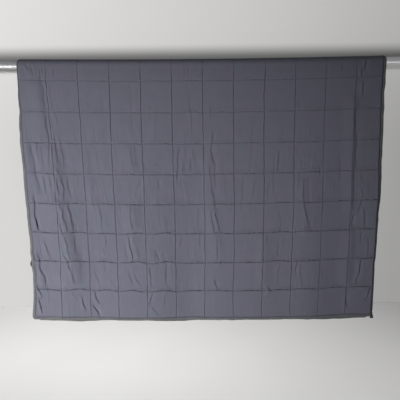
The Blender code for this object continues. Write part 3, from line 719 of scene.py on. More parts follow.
def gathers(p, q):
    random = np.random.default_rng(gatherShape["seed"])
    down = blanket["front"] - 1 - q
    total = np.zeros_like(p)
    for row, strength in enumerate(gatherShape["strength"]):
        middles = random.uniform(0.1, 11.9, gatherShape["bunches"])
        bunches = [random.normal(middle, gatherShape["bunchWidth"], 3) for middle in middles]
        for place in np.concatenate(bunches):
            width = random.uniform(*gatherShape["width"])
            length = random.uniform(*gatherShape["length"])
            above = random.random() < gatherShape["aboveShare"]
            height = strength * random.uniform(-1, 1)
            # two quiet stretches of the right, and the left's middle above the lower rows
            if 6.5 < place < 8.9 or 9.9 < place < 11:
                height *= 0.5
            if 2 < place < 6 and row < 5:
                height *= 0.7
            leanRange = (-0.05, 0.06 + 0.025 * row) if place < 8 else (-0.16, 0.06)
            lean = random.uniform(*leanRange)
            lean = -lean if above else lean
            way = (row - down) if above else (down - row)
            fade = smoothStep(way / gatherShape["start"]) * smoothStep((length - way) / length)
            near = (p - place - lean * way) / width
            inside = (way > 0) & (way < length) & (np.abs(near) < 3)
            total += np.where(inside, height * fade * np.exp(-near ** 2), 0)
    return total / 1000


meshLines = {
    "acrossFront": (42, 44, 34, 36, 34, 32, 34, 26, 28, 32, 22, 36),   # in each square of the front
    "downFront": 19,
    "acrossBack": 14,
    "downBack": 11,
    "inside": 6,
    "beside": (0.0, 0.0012, 0.0026, 0.0046),      # metres from a seam, where lines stand close
    "besideInner": (0.0, 0.004),
    "ontoRod": (0.010, 0.016, 0.023, 0.030),      # the same from the front's last seam towards the rod
    "rodStart": 0.037,
    "rodTop": (0.0478, 0.0339),                   # from that seam to the rod's side, and on to its top
}


# Places across a square of the given pitch: close beside its seams, then even
def squareLines(count, pitch, beside):
    close = [way / pitch for way in beside]
    low, high = close[-1], 1 - close[-1]
    middle = count - 2 * len(close) + 1
    even = [low + (high - low) * step / (middle + 1) for step in range(1, middle + 1)]
    return close + even + [1 - way for way in reversed(close)][:-1]


def allLines(start, end, counts, pitch, beside, margins, last):
    lines = []
    for square in range(start, end):
        low = margins[0] if square == 0 else square
        high = last - margins[1] if square == last - 1 else square + 1
        shares = squareLines(counts[square - start], pitch, beside)
        lines += [low + (high - low) * share for share in shares]
    return lines


# Joins two rows of vertices of any number, given where each stands along the row
def zipRows(rowA, atA, rowB, atB):
    faces = []
    a, b = 0, 0
    while a < len(rowA) - 1 or b < len(rowB) - 1:
        stepA = b == len(rowB) - 1 or (a < len(rowA) - 1 and atA[a + 1] <= atB[b + 1])
        if stepA:
            faces.append((rowA[a], rowA[a + 1], rowB[b]))
            a += 1
        else:
            faces.append((rowA[a], rowB[b + 1], rowB[b]))
            b += 1
    return faces


def gridFaces(index):
    quads = np.stack([index[:-1, :-1], index[:-1, 1:], index[1:, 1:], index[1:, :-1]], -1)
    return quads.reshape(-1, 4).tolist()


def addObject(name, data):
    obj = bpy.data.objects.new(name, data)
    bpy.context.scene.collection.objects.link(obj)
    return obj


def makeMesh(name, points, faces, material, smooth=True):
    mesh = bpy.data.meshes.new(name)
    mesh.from_pydata(np.asarray(points).tolist(), [], faces)
    mesh.materials.append(material)
    if smooth:
        mesh.shade_smooth()
    return addObject(name, mesh)


def giveUv(obj, perVertex):
    mesh = obj.data
    layer = mesh.uv_layers.new(name="squares")
    corner = np.empty(len(mesh.loops), dtype=np.int32)
    mesh.loops.foreach_get("vertex_index", corner)
    layer.data.foreach_set("uv", np.asarray(perVertex, dtype=np.float32)[corner].ravel())


# Soft upright folds of the back, as ranges of place, middle, width and length in squares, height in mm
backFolds = {
    "seed": 61,
    "count": 56,
    "place": (0.3, 11.7),
    "middle": (10.5, 17.8),
    "height": (1.6, 4.2),
    "width": (0.09, 0.26),
    "length": (1.2, 5.0),
    "lean": (-0.06, 0.06),
    "start": 9.4,            # q from which they grow
    "edge": 0.02,            # way in from the binding over which they grow, in metres
}


def backFoldHeight(p, q):
    random = np.random.default_rng(backFolds["seed"])
    total = np.zeros_like(p)
    for fold in range(backFolds["count"]):
        place, middle = random.uniform(*backFolds["place"]), random.uniform(*backFolds["middle"])
        height = random.uniform(*backFolds["height"]) * random.choice((-1, 1))
        width, length = random.uniform(*backFolds["width"]), random.uniform(*backFolds["length"])
        near = (p - place - random.uniform(*backFolds["lean"]) * (q - middle)) / width
        total += height * smoothStep(1 - 2 * np.abs(q - middle) / length) * np.exp(-near ** 2)
    return total / 1000 * smoothStep(q - backFolds["start"])


def outerOut(p, q):
    share = 1 - (1 - blanket["onRod"]) * onRod(q)
    out = share * (blanket["seamRaise"] + fullness(p, q, blanket["rise"], blanket["puff"]))
    fromSide = np.minimum(p, blanket["across"] - p) * blanket["squareAcross"]
    fromHem = np.minimum(q * blanket["frontHemSquare"], (blanket["along"] - q) * blanket["backHemSquare"])
    fromTape = np.minimum(fromSide, fromHem) - tape["width"]
    out = out + backFoldHeight(p, q) * smoothStep(fromTape / backFolds["edge"])
    return blanket["seamHalf"] + out * smoothStep(fromTape / blanket["edgeRise"])


def innerOut(p, q):
    full = fullness(p, q, blanket["innerRise"], blanket["innerPuff"])
    return -blanket["seamHalf"] - (1 - onRod(q)) * full


def frontOut(p, q):
    down = blanket["front"] - 1 - q
    fromSide = np.minimum(p, blanket["across"] - p) - creaseShape["edge"]
    fromHem = q - creaseShape["edge"]
    inEdge = smoothStep(fromSide / creaseShape["edgeFade"]) * smoothStep(fromHem / creaseShape["hemFade"])
    return outerOut(p, q) + inEdge * (creaseHeight(p, down) + gathers(p, q))


# How the lines crowd, as a share on top of the even ones, with reaches in mm
crowding = {
    "samples": 160,
    "atSeam": 2.6,
    "seamReach": 2.6,
    "atCrease": 0.8,
    "scale": 1.15,
    "creaseReach": 2.4,
    "search": 8,
    "most": 6,
}


# Lines down the front that crowd together along the creases and seams: a row of p for every q
def followCreases(qLines):
    across = blanket["across"]
    marginP = blanket["margin"] / blanket["squareAcross"]
    samples = np.linspace(0, 1, crowding["samples"])
    rows = []
    for square, count in enumerate(meshLines["acrossFront"]):
        low = marginP if square == 0 else square
        high = across - marginP if square == across - 1 else square + 1
        p, q = np.meshgrid(low + (high - low) * samples, qLines)
        near = np.minimum(p - low, high - p) * creaseShape["square"][0]
        crowd = 1 + crowding["atSeam"] * np.exp(-(near / crowding["seamReach"]) ** 2)
        down = blanket["front"] - 1 - q
        for depth, side, inside, beside, alive in creaseReach(p, down, crowding["search"]):
            close = np.exp(-(beside / crowding["creaseReach"]) ** 2)
            crowd[inside] += (crowding["atCrease"] + depth) * crowding["scale"] * alive * close
        crowd = np.minimum(crowd, crowding["most"])
        added = np.cumsum((crowd[:, 1:] + crowd[:, :-1]) / 2, 1)
        total = np.concatenate([np.zeros((len(qLines), 1)), added], 1)
        places = np.arange(count) / count
        rows.append(np.stack([np.interp(places * sums[-1], sums, line) for sums, line in zip(total, p)]))

    def uprights(values):
        return [np.full((len(qLines), 1), value) for value in values]

    ends = (across - marginP, across - marginP * 0.5, across)
    return np.hstack(uprights((0.0, marginP * 0.5)) + rows + uprights(ends))


# Lines across and along the quilt, for its front, its back and its inner face
def quiltLines():
    across, along, top, middle = blanket["across"], blanket["along"], blanket["front"] - 1, blanket["front"]
    marginP = blanket["margin"] / blanket["squareAcross"]
    marginF, marginB = hemMargins()
    beside, besideInner = meshLines["beside"], meshLines["besideInner"]

    def acrossLines(count, close):
        margins = marginP, marginP
        lines = allLines(0, across, [count] * across, blanket["squareAcross"], close, margins, across)
        return [0.0] + lines + [across - marginP, across]

    def downLines(start, end, count, pitch, close):
        return allLines(start, end, [count] * (end - start), pitch, close, (marginF, marginB), along)

    pBack = acrossLines(meshLines["acrossBack"], beside[:3])
    pIn = acrossLines(meshLines["inside"], besideInner)
    turn = top + sum(meshLines["rodTop"]) / blanket["topSquare"]            # q at the top of the rod
    qFront = [0.0, marginF * 0.5] + downLines(0, top, meshLines["downFront"], blanket["squareFront"], beside)
    qFront += [top + way / blanket["topSquare"] for way in beside + meshLines["ontoRod"]]
    qFront += list(np.linspace(top + meshLines["rodStart"] / blanket["topSquare"], turn, 9))
    # down the back of the rod, with lines close beside the middle seam
    qBack = list(np.linspace(turn + 0.04, middle - 0.03, 2)) + [middle - 0.014, middle, 9.014, 9.03]
    qBack += list(np.linspace(9.08, 9.34, 6))
    shares = squareLines(meshLines["downBack"] + 2, blanket["squareBack"], beside[:3])
    qBack += [middle + share for share in shares if share > 0.36]
    qBack += downLines(middle + 1, along, meshLines["downBack"], blanket["squareBack"], beside[:3])
    qBack += [along - marginB, along]
    qIn = [0.0] + downLines(0, top, meshLines["inside"], blanket["squareFront"], besideInner)
    qIn += [8.0, 8.04, 8.25] + list(np.linspace(8.42, 9.24, 12)) + [9.5, 9.75, 9.96]
    qIn += downLines(middle + 1, along, meshLines["inside"], blanket["squareBack"], besideInner)
    qIn += [along - marginB, along]
    return pBack, pIn, qFront, qBack, qIn


def makeQuilt(material):
    pBack, pIn, qFront, qBack, qIn = quiltLines()
    points, places, faces = [], [], []

    def addGrid(pLines, qLines, height, inward=False):
        start = sum(len(block) for block in points)
        p = np.broadcast_to(pLines, (len(qLines), np.shape(pLines)[-1]))
        q = np.broadcast_to(np.array(qLines)[:, None], p.shape)
        points.append(hang(p, q, height(p, q)).reshape(-1, 3))
        places.append(np.stack([p, q], -1).reshape(-1, 2))
        index = np.arange(p.size).reshape(p.shape) + start
        faces.extend(gridFaces(index[:, ::-1] if inward else index))
        return index

    pFront = followCreases(qFront)
    front = addGrid(pFront, qFront, frontOut)
    back = addGrid(pBack, qBack, outerOut)
    inner = addGrid(pIn, qIn, innerOut, inward=True)
    faces.extend(zipRows(front[-1], pFront[-1], back[0], pBack))
    # the rim, round the four sides
    faces.extend(zipRows(inner[0], pIn, front[0], pFront[0]))
    faces.extend(zipRows(back[-1], pBack, inner[-1], pIn))
    outerLeft = list(front[:, 0]) + list(back[:, 0])
    outerRight = list(front[:, -1]) + list(back[:, -1])
    qOuter = list(qFront) + list(qBack)
    faces.extend(zipRows(outerLeft, qOuter, inner[:, 0], qIn))
    faces.extend(zipRows(inner[:, -1], qIn, outerRight, qOuter))
    quilt = makeMesh("quiltedBlanket", np.vstack(points), faces, material)
    giveUv(quilt, np.vstack(places))
    print("quilt", len(quilt.data.vertices), "points", sum(len(face) - 2 for face in faces), "triangles")
    return quilt


tape = {
    "width": 0.0088,         # of the binding, in from the cloth's edge
    "thick": 0.0007,
    "gap": 0.0002,
    "wobble": 0.0006,        # of its inner edge
    "wobbleSeed": 88,
    "uneven": 0.10,          # share of its height that comes and goes
}


# Places round the edge with the way in from each, in squares per metre
def edgeStations():
    inP = 1 / blanket["squareAcross"]
    inF, inB = (margin / blanket["margin"] for margin in hemMargins())
    acrossP = blanket["margin"] * inP
    stations = []
    pSteps = np.linspace(acrossP, 12 - acrossP, 300)
    qSteps = np.linspace(inF * blanket["margin"], 18 - inB * blanket["margin"], 460)
    turns = np.radians(np.linspace(0, 90, 11)[1:-1])

    def corner(p0, q0, signP, signQ, inQ, order):
        for turn in order:
            most = max(math.cos(turn), math.sin(turn))
            c, s = math.cos(turn) / most, math.sin(turn) / most
            along = inQ * blanket["margin"]
            stations.append((p0 + signP * acrossP * (1 - c), q0 + signQ * along * (1 - s),
                             signP * inP * c, signQ * inQ * s))

    stations += [(p, 0.0, 0.0, inF) for p in pSteps]
    corner(12, 0, -1, 1, inF, turns[::-1])
    stations += [(12.0, q, -inP, 0.0) for q in qSteps]
    corner(12, 18, -1, -1, inB, turns)
    stations += [(p, 18.0, 0.0, -inB) for p in pSteps[::-1]]
    corner(0, 18, 1, -1, inB, turns[::-1])
    stations += [(0.0, q, inP, 0.0) for q in qSteps[::-1]]
    corner(0, 0, 1, 1, inF, turns)
    return np.array(stations)


# A section of folded tape: way in from the cloth's edge, and height off the cloth's middle
def tapeSection(width):
    under = blanket["seamHalf"] + tape["gap"]
    over = under + tape["thick"]
    nose = tape["gap"] + tape["thick"]
    outer = [(width, over - 0.0002), (width - 0.0004, over), (width * 0.72, over + 0.00005),
             (width * 0.4, over + 0.0001), (0.0012, over)]
    outer += [(0.0008 - (nose + 0.0008) * math.sin(turn), over * math.cos(turn))
              for turn in np.radians((20, 45, 70, 90, 110, 135, 160))]
    outer += [(way, -height) for way, height in outer[4::-1]]
    inner = [(width, -under), (0.001, -under), (-tape["gap"], -under * 0.5), (-tape["gap"], under * 0.5),
             (0.001, under), (width, under)]
    return np.array(outer + inner)


def ringFaces(rings, points, closed):
    index = np.arange(rings * points).reshape(rings, points)
    index = np.hstack([index, index[:, :1]])
    if closed:
        index = np.vstack([index, index[:1]])
    faces = gridFaces(index)
    if not closed:
        faces.append(tuple(range(points)))
        faces.append(tuple(range((rings - 1) * points, rings * points))[::-1])
    return faces


def makeBinding(material):
    stations = edgeStations()
    count = len(stations)
    random = np.random.default_rng(tape["wobbleSeed"])
    rough = random.normal(0, 1, count)
    kernel = np.hanning(15) / np.hanning(15).sum()
    slow = np.convolve(np.concatenate([rough[-7:], rough, rough[:7]]), kernel, "valid")
    section = tapeSection(tape["width"])
    moves = np.where(section[:, 0] > 0.004, 1.0, 0.25)
    ways = section[:, 0][None] + moves[None] * slow[:, None] * tape["wobble"]
    p = stations[:, :1] + stations[:, 2:3] * ways
    q = stations[:, 1:2] + stations[:, 3:4] * ways
    lifted = section[:, 1][None] * (1 + tape["uneven"] * np.roll(slow, 40)[:, None])
    points = hang(p, q, lifted)
    faces = [face[::-1] for face in ringFaces(count, len(section), True)]
    binding = makeMesh("edgeBinding", points.reshape(-1, 3), faces, material)
    binding.data.set_sharp_from_angle(angle=math.radians(50))
    way = np.concatenate([[0], np.cumsum(np.linalg.norm(np.diff(points[:, 8], axis=0), axis=1))])
    across = np.concatenate([[0], np.cumsum(np.linalg.norm(np.diff(section, axis=0), axis=1))])
    uv = np.stack(np.broadcast_arrays(way[:, None] / 0.1, across[None] / 0.1), -1)
    giveUv(binding, uv.reshape(-1, 2))
    print("binding", len(faces) * 2, "triangles")
    return binding


def makeRod(material):
    rings = []
    half, sides = rod["radius"], rod["sides"]
    ends = ((0.0006, half - rod["wall"] - 0.0002), (0.0, half - rod["wall"]), (0.0, half - 0.0005),
            (0.0002, half - 0.0002), (0.0006, half))
    xs = [x for x, radius in ends] + list(np.linspace(0.01, rod["length"] - 0.01, rod["rings"]))
    xs += [rod["length"] - x for x, radius in reversed(ends)]
    radii = [radius for x, radius in ends] + [half] * rod["rings"] + [radius for x, radius in reversed(ends)]
    turns = np.linspace(0, 2 * math.pi, sides, endpoint=False)
    for x, radius in zip(xs, radii):
        y, z = radius * np.cos(turns), rodHeight(x) + radius * np.sin(turns)
        rings.append(np.stack([np.full(sides, x), y, z], -1))
    faces = ringFaces(len(rings), sides, False)
    bar = makeMesh("hangingRod", np.vstack(rings), faces, material)
    bar.data.set_sharp_from_angle(angle=math.radians(35))
    return bar


# A small tape folded over its free side, from its root line to its fold line
def makeTab(name, roots, folds, thick, material):
    roots, folds = np.array(roots), np.array(folds)
    half = thick / 2
    layer = half * 0.78
    fold = np.radians((15, 45, 90, 135, 165))
    section = [(0.0, half), (0.35, half * 1.05), (0.7, half)]
    section += [(0.86 + 0.14 * math.sin(turn), half * math.cos(turn)) for turn in fold]
    section += [(0.7, -half), (0.35, -half * 1.05), (0.0, -half), (0.0, -half + layer)]
    section += [(0.80, -half + layer * 1.05), (0.80, half - layer * 1.05), (0.0, half - layer)]
    rings = [[root * (1 - way) + tip * way + np.array((0, -height, 0)) for way, height in section]
             for root, tip in zip(roots, folds)]
    faces = ringFaces(len(rings), len(section), False)
    return makeMesh(name, np.array(rings).reshape(-1, 3), faces, material)


# A shader's nodes, made and joined by short calls
class Graph:
    def __init__(self, tree):
        self.tree = tree

    def node(self, kind, **settings):
        made = self.tree.nodes.new(kind)
        for name, value in settings.items():
            setattr(made, name, value)
        return made

    def put(self, socket, value):
        if isinstance(value, bpy.types.NodeSocket):
            self.tree.links.new(value, socket)
        else:
            socket.default_value = value

    def math(self, operation, *values):
        made = self.node("ShaderNodeMath", operation=operation)
        for socket, value in zip(made.inputs, values):
            self.put(socket, value)
        return made.outputs[0]

    def times(self, one, other):
        return self.math("MULTIPLY", one, other)

    def plus(self, one, other):
        return self.math("ADD", one, other)

    def minus(self, one, other):
        return self.math("SUBTRACT", one, other)

    def split(self, place):
        made = self.node("ShaderNodeSeparateXYZ")
        self.put(made.inputs[0], place)
        return made.outputs

    # places in metres, where the blanket's own are in squares
    def objectPlace(self):
        return self.node("ShaderNodeTexCoord").outputs["Object"]

    def span(self, value, fromLow, fromHigh, toLow=0.0, toHigh=1.0, smooth=True):
        made = self.node("ShaderNodeMapRange", interpolation_type="SMOOTHSTEP" if smooth else "LINEAR")
        for name, item in (("Value", value), ("From Min", fromLow), ("From Max", fromHigh),
                           ("To Min", toLow), ("To Max", toHigh)):
            self.put(made.inputs[name], item)
        return made.outputs["Result"]

    def noise(self, vector, scale, detail=2.0, roughness=0.5):
        made = self.node("ShaderNodeTexNoise")
        values = (("Vector", vector), ("Scale", scale), ("Detail", detail), ("Roughness", roughness))
        for name, item in values:
            self.put(made.inputs[name], item)
        return made.outputs["Fac"]

    def vector(self, x, y, z=0.0):
        made = self.node("ShaderNodeCombineXYZ")
        for socket, value in zip(made.inputs, (x, y, z)):
            self.put(socket, value)
        return made.outputs[0]

    def mixColour(self, share, one, other, blend="MIX"):
        made = self.node("ShaderNodeMix", data_type="RGBA", blend_type=blend)
        self.put(made.inputs[0], share)
        self.put(made.inputs[6], one)
        self.put(made.inputs[7], other)
        return made.outputs[2]

    def shaded(self, colour, shade):
        return self.mixColour(1.0, colour, self.vector(shade, shade, shade), "MULTIPLY")

    def curve(self, value, stops):
        made = self.node("ShaderNodeFloatCurve")
        line = made.mapping.curves[0]
        while len(line.points) < len(stops):
            line.points.new(0.5, 0.5)
        for point, place in zip(line.points, stops):
            point.location = place
        made.mapping.update()
        self.put(made.inputs["Value"], value)
        return made.outputs[0]


def newGroup(name, inputs, outputs):
    tree = bpy.data.node_groups.new(name, "ShaderNodeTree")
    for label, kind, value in inputs:
        socket = tree.interface.new_socket(label, in_out="INPUT", socket_type=kind)
        if value is not None:
            socket.default_value = value
    for label, kind in outputs:
        tree.interface.new_socket(label, in_out="OUTPUT", socket_type=kind)
    graph = Graph(tree)
    return graph, tree.nodes.new("NodeGroupInput").outputs, tree.nodes.new("NodeGroupOutput").inputs


number, colourKind, vectorKind = "NodeSocketFloat", "NodeSocketColor", "NodeSocketVector"


# The groups below have named inputs and outputs, and more than one finish shares the weave and the clouds.
# Plain weave of fine yarn with uneven slubs, on a place given in squares of about 0.1 m
def weaveGroup():
    graph, given, result = newGroup("plainWeave", (("Place", vectorKind, None), ("Threads", number, 230.0),
                                                   ("Slub", number, 0.5)),
                                    (("Shade", number), ("Height", number)))
    x, y, z = graph.split(given["Place"])
    warp = graph.math("SINE", graph.times(graph.times(x, given["Threads"]), math.pi))
    weft = graph.math("SINE", graph.times(graph.times(y, given["Threads"]), math.pi))
    cross = graph.times(warp, weft)
    yarns = graph.math("MULTIPLY_ADD", cross, 0.5, 0.5)
    slubWeft = graph.noise(graph.vector(graph.times(x, 9.0), graph.times(y, 150.0)), 1.0, 2.0)
    slubWarp = graph.noise(graph.vector(graph.times(x, 150.0), graph.times(y, 9.0), 4.0), 1.0, 2.0)
    uneven = graph.times(graph.minus(graph.plus(slubWeft, slubWarp), 1.0), given["Slub"])
    graph.put(result["Shade"], graph.plus(graph.math("MULTIPLY_ADD", cross, 0.03, 1.0), uneven))
    graph.put(result["Height"], graph.math("MULTIPLY_ADD", uneven, 0.6, yarns))
    return graph.tree


# Slow cloudy change of colour, as handled cloth has
def cloudGroup():
    inputs = (("Place", vectorKind, None), ("Warm", colourKind, (1, 1, 1, 1)),
              ("Cool", colourKind, (1, 1, 1, 1)), ("Scale", number, 2.0))
    graph, given, result = newGroup("clouding", inputs, (("Colour", colourKind), ("Shade", number)))
    hue = graph.noise(given["Place"], given["Scale"], 2.0, 0.55)
    tone = graph.noise(given["Place"], graph.times(given["Scale"], 2.7), 3.0, 0.6)
    share = graph.span(hue, 0.36, 0.64)
    graph.put(result["Colour"], graph.mixColour(share, given["Warm"], given["Cool"]))
    graph.put(result["Shade"], graph.math("MULTIPLY_ADD", graph.minus(tone, 0.5), 0.10, 1.0))
    return graph.tree


# Pale lint and dust specks, a few to each square
def lintGroup():
    graph, given, result = newGroup("lint", (("Place", vectorKind, None), ("Amount", number, 0.5)),
                                    (("Shade", number),))
    cells = graph.node("ShaderNodeTexVoronoi", feature="F1")
    graph.put(cells.inputs["Vector"], given["Place"])
    graph.put(cells.inputs["Scale"], 22.0)
    speck = graph.span(cells.outputs["Distance"], 0.035, 0.09, 1.0, 0.0)
    pick = graph.node("ShaderNodeSeparateColor")
    graph.put(pick.inputs[0], cells.outputs["Color"])
    chosen = graph.math("GREATER_THAN", pick.outputs[0], 0.93)
    lint = graph.times(graph.times(speck, chosen), given["Amount"])
    graph.put(result["Shade"], graph.plus(lint, 1.0))
    return graph.tree


# How strong the seams' dark lines with their painted shade, and their gathers, are, as stops along the
# blanket's width or length
seamStrength = {
    "upright": ((0.0, 1.0), (0.79, 0.9), (0.833, 0.2), (0.875, 0.9), (0.917, 1.0), (1.0, 0.7)),
    "gathersAcross": ((0.0, 0.9), (0.08, 1.0), (0.16, 0.75), (0.42, 0.65), (0.56, 0.4), (0.70, 0.35),
                      (0.80, 0.7), (0.88, 0.25), (1.0, 0.6)),
    "gathersAlong": ((0.0, 0.6), (0.04, 0.75), (0.12, 1.0), (0.30, 0.95), (0.40, 0.45), (0.47, 0.3),
                     (0.55, 0.6), (0.65, 1.0), (1.0, 1.0)),
    # scale across and along, offset, sharpness and share of the wide valleys and the narrow ones
    "valleys": ((3.8, 0.26, 3.0, 6.0, 1.0), (8.5, 0.5, 11.0, 7.0, 0.45)),
}


# What the seams do to the cloth: a darker stitched line widened by painted shade along it, painted shade
# along the binding's inner edge, and fine gathers hanging from the seams across
def seamGroup():
    graph, given, result = newGroup("stitchedSquaresAndSeamShade", (("Place", vectorKind, None), ("Line", number, 0.3),
                                                        ("Gathers", number, 1.0)),
                                    (("Shade", number), ("Height", number)))
    times, plus, minus, span = graph.times, graph.plus, graph.minus, graph.span
    p, q, flat = graph.split(given["Place"])

    def beside(value):
        return graph.math("ABSOLUTE", minus(graph.math("FRACT", plus(value, 0.5)), 0.5))

    def nearest(value):
        return graph.math("FLOOR", plus(value, 0.5))

    def patches(x, y, z, detail, roughness=0.5):
        return graph.noise(graph.vector(x, y, z), 1.0, detail, roughness)

    upright = beside(p)
    rightOfSeam = beside(minus(p, 0.012))
    level = beside(q)
    # how dark each seam's line and painted shade is: more towards the front's lower seams, and broken along
    # its length
    lower = plus(span(q, 8.0, 1.0, 0.45, 1.3), span(q, 9.3, 11.0, 0.0, 0.6))
    broken = patches(times(p, 7.0), nearest(q), 0.0, 3.0, 0.7)
    atCrossing = span(minus(upright, 0.01), 0.0, 0.12, 0.35, 1.0)
    broken = times(span(broken, 0.38, 0.60, 0.15, 1.6), atCrossing)
    broken = times(broken, span(graph.math("FRACT", p), 0.12, 0.60, 0.55, 1.35))
    # the painted soft shade reaches further above a seam than under it, by more in some squares than others
    uneven = patches(times(p, 2.2), times(q, 0.9), 21.0, 1.0)
    above = span(graph.math("FRACT", q), 0.0, span(uneven, 0.35, 0.65, 0.05, 0.20), 1.0, 0.0)
    below = span(graph.math("FRACT", q), 0.965, 1.0, 0.0, 1.0)
    levelSoftPaintedShade = times(graph.math("MAXIMUM", above, below), 0.30)
    levelLineAndShade = times(span(beside(minus(q, 0.004)), 0.005, 0.018, 1.0, 0.0), broken)
    levelPaintedShade = times(plus(levelSoftPaintedShade, levelLineAndShade), lower)
    # the upright seams' dark line is partly painted shade: it sits just right of the seam and is painted far
    # darker on the back
    drift = span(patches(nearest(p), times(q, 5.0), 0.0, 3.0, 0.7), 0.3, 0.7, 0.45, 1.25)
    eachSeam = graph.curve(graph.math("DIVIDE", p, 12.0), seamStrength["upright"])
    uprightLineAndShade = times(span(rightOfSeam, 0.004, 0.020, 0.08, 0.0), drift)
    uprightLineAndShade = times(times(uprightLineAndShade, eachSeam), span(q, 9.3, 9.8, 1.0, 7.0))
    # painted shade along the line beside the binding, stronger at the left edge
    edge = graph.math("MINIMUM", graph.math("MINIMUM", p, minus(12.0, p)),
                      graph.math("MINIMUM", q, minus(18.0, q)))
    edgePaintedShade = times(span(edge, 0.118, 0.145, 1.0, 0.0), span(p, 0.15, 0.2, 1.0, 0.75))
    inner = span(edge, 0.10, 0.16)
    dark = times(graph.math("MAXIMUM", levelPaintedShade, uprightLineAndShade), inner)
    dark = graph.math("MAXIMUM", dark, edgePaintedShade)
    graph.put(result["Shade"], minus(1.0, times(dark, given["Line"])))
    # gathers: long thin valleys that die away from the seam they hang from
    where = graph.curve(graph.math("DIVIDE", p, 12.0), seamStrength["gathersAcross"])
    rows = graph.curve(graph.math("DIVIDE", q, 18.0), seamStrength["gathersAlong"])
    strength = times(where, rows)
    fromSeam = graph.math("FRACT", q)
    above = span(fromSeam, 0.0, 0.9, 1.0, 0.35)
    below = span(fromSeam, 0.78, 1.0, 0.0, 0.8)
    reach = times(graph.math("MAXIMUM", above, below), span(level, 0.01, 0.05))
    leaned = plus(p, times(q, span(p, 2.0, 10.0, 0.09, -0.04)))
    strength = times(strength, span(patches(times(p, 1.9), times(q, 1.3), 9.0, 2.0), 0.38, 0.60, 0.15, 1.25))
    valleys = None
    for acrossScale, alongScale, offset, sharp, share in seamStrength["valleys"]:
        field = patches(times(leaned, acrossScale), times(q, alongScale), offset, 1.0, 0.4)
        ridge = times(graph.math("ABSOLUTE", minus(field, 0.5)), sharp)
        valley = times(graph.math("MINIMUM", ridge, 1.0), share)
        valleys = valley if valleys is None else plus(valleys, valley)
    swell = patches(times(p, 5.0), times(q, 1.6), 7.0, 1.0)
    valleys = plus(valleys, times(swell, 1.1))
    graph.put(result["Height"], times(times(valleys, times(strength, reach)), given["Gathers"]))
    return graph.tree


weave, clouding, lint, seams = weaveGroup(), cloudGroup(), lintGroup(), seamGroup()


class Finish(Graph):
    def __init__(self, name):
        self.material = bpy.data.materials.new(name)
        self.material.use_nodes = True
        super().__init__(self.material.node_tree)
        self.shader = self.tree.nodes["Principled BSDF"]

    def set(self, **values):
        for name, value in values.items():
            self.put(self.shader.inputs[name.replace("_", " ")], value)

    def group(self, tree, **values):
        made = self.node("ShaderNodeGroup", node_tree=tree)
        for name, value in values.items():
            self.put(made.inputs[name], value)
        return made.outputs

    def bump(self, height, distance, strength=1.0, under=None):
        made = self.node("ShaderNodeBump")
        self.put(made.inputs["Height"], height)
        self.put(made.inputs["Distance"], distance)
        self.put(made.inputs["Strength"], strength)
        if under is not None:
            self.put(made.inputs["Normal"], under)
        return made.outputs[0]


cottonFinish = {
    "purple": (0.1160, 0.1125, 0.1445, 1),
    "slate": (0.1095, 0.1130, 0.1425, 1),
    "roughness": 0.9,
    # how dark the seams' lines and their painted shade are
    "seamLineAndShade": 0.36,
    "gatherHeight": 0.0009,
    "weaveHeight": 0.00006,
    "sheen": 0.06,
    "spot": (4.45, 5.33, 0), # where the spot is, in squares
}


def makeCotton():
    finish = Finish("slateCotton")
    uv = finish.node("ShaderNodeUVMap", uv_map="squares").outputs[0]
    woven = finish.group(weave, Place=uv, Threads=230.0, Slub=0.10)
    clouds = finish.group(clouding, Place=uv, Warm=cottonFinish["purple"], Cool=cottonFinish["slate"],
                          Scale=1.3)
    specks = finish.group(lint, Place=uv, Amount=0.35)
    # the seams' darkening is partly painted shade
    sewnAndShaded = finish.group(seams, Place=uv, Line=cottonFinish["seamLineAndShade"], Gathers=1.0)
    # one small dark spot on the front
    offset = finish.node("ShaderNodeVectorMath", operation="DISTANCE")
    finish.put(offset.inputs[0], uv)
    offset.inputs[1].default_value = cottonFinish["spot"]
    spot = finish.span(offset.outputs["Value"], 0.010, 0.030, 0.35, 1.0)
    shade = finish.times(finish.times(woven["Shade"], clouds["Shade"]),
                         finish.times(sewnAndShaded["Shade"], finish.times(specks["Shade"], spot)))
    colour = finish.shaded(clouds["Colour"], shade)
    folds = finish.bump(sewnAndShaded["Height"], cottonFinish["gatherHeight"])
    normal = finish.bump(woven["Height"], cottonFinish["weaveHeight"], 1.0, folds)
    finish.set(Base_Color=colour, Roughness=cottonFinish["roughness"], Normal=normal,
               Sheen_Weight=cottonFinish["sheen"], Sheen_Roughness=0.5, Specular_IOR_Level=0.15)
    return finish.material


def makeTapeFinish(name, colour, dark, slub):
    finish = Finish(name)
    scaled = finish.node("ShaderNodeVectorMath", operation="SCALE")
    finish.put(scaled.inputs[0], finish.objectPlace())
    scaled.inputs["Scale"].default_value = 10.0
    x, y, z = finish.split(scaled.outputs[0])
    flat = finish.vector(x, z, y)
    woven = finish.group(weave, Place=flat, Threads=150.0, Slub=slub)
    clouds = finish.group(clouding, Place=flat, Warm=(*colour, 1), Cool=(*dark, 1), Scale=3.0)
    mixed = finish.shaded(clouds["Colour"], finish.times(woven["Shade"], clouds["Shade"]))
    normal = finish.bump(woven["Height"], 0.00012)
    finish.set(Base_Color=mixed, Roughness=0.88, Normal=normal, Specular_IOR_Level=0.2)
    return finish.material


def makeThread():
    finish = Finish("seamThread")
    place = finish.objectPlace()
    tone = finish.noise(place, 240.0, 2.0)
    dark, pale = (0.040, 0.041, 0.052, 1), (0.085, 0.087, 0.105, 1)
    colour = finish.mixColour(finish.span(tone, 0.3, 0.7), dark, pale)
    twist = finish.bump(finish.noise(place, 2600.0, 2.0), 0.00008)
    finish.set(Base_Color=colour, Roughness=0.65, Normal=twist)
    return finish.material


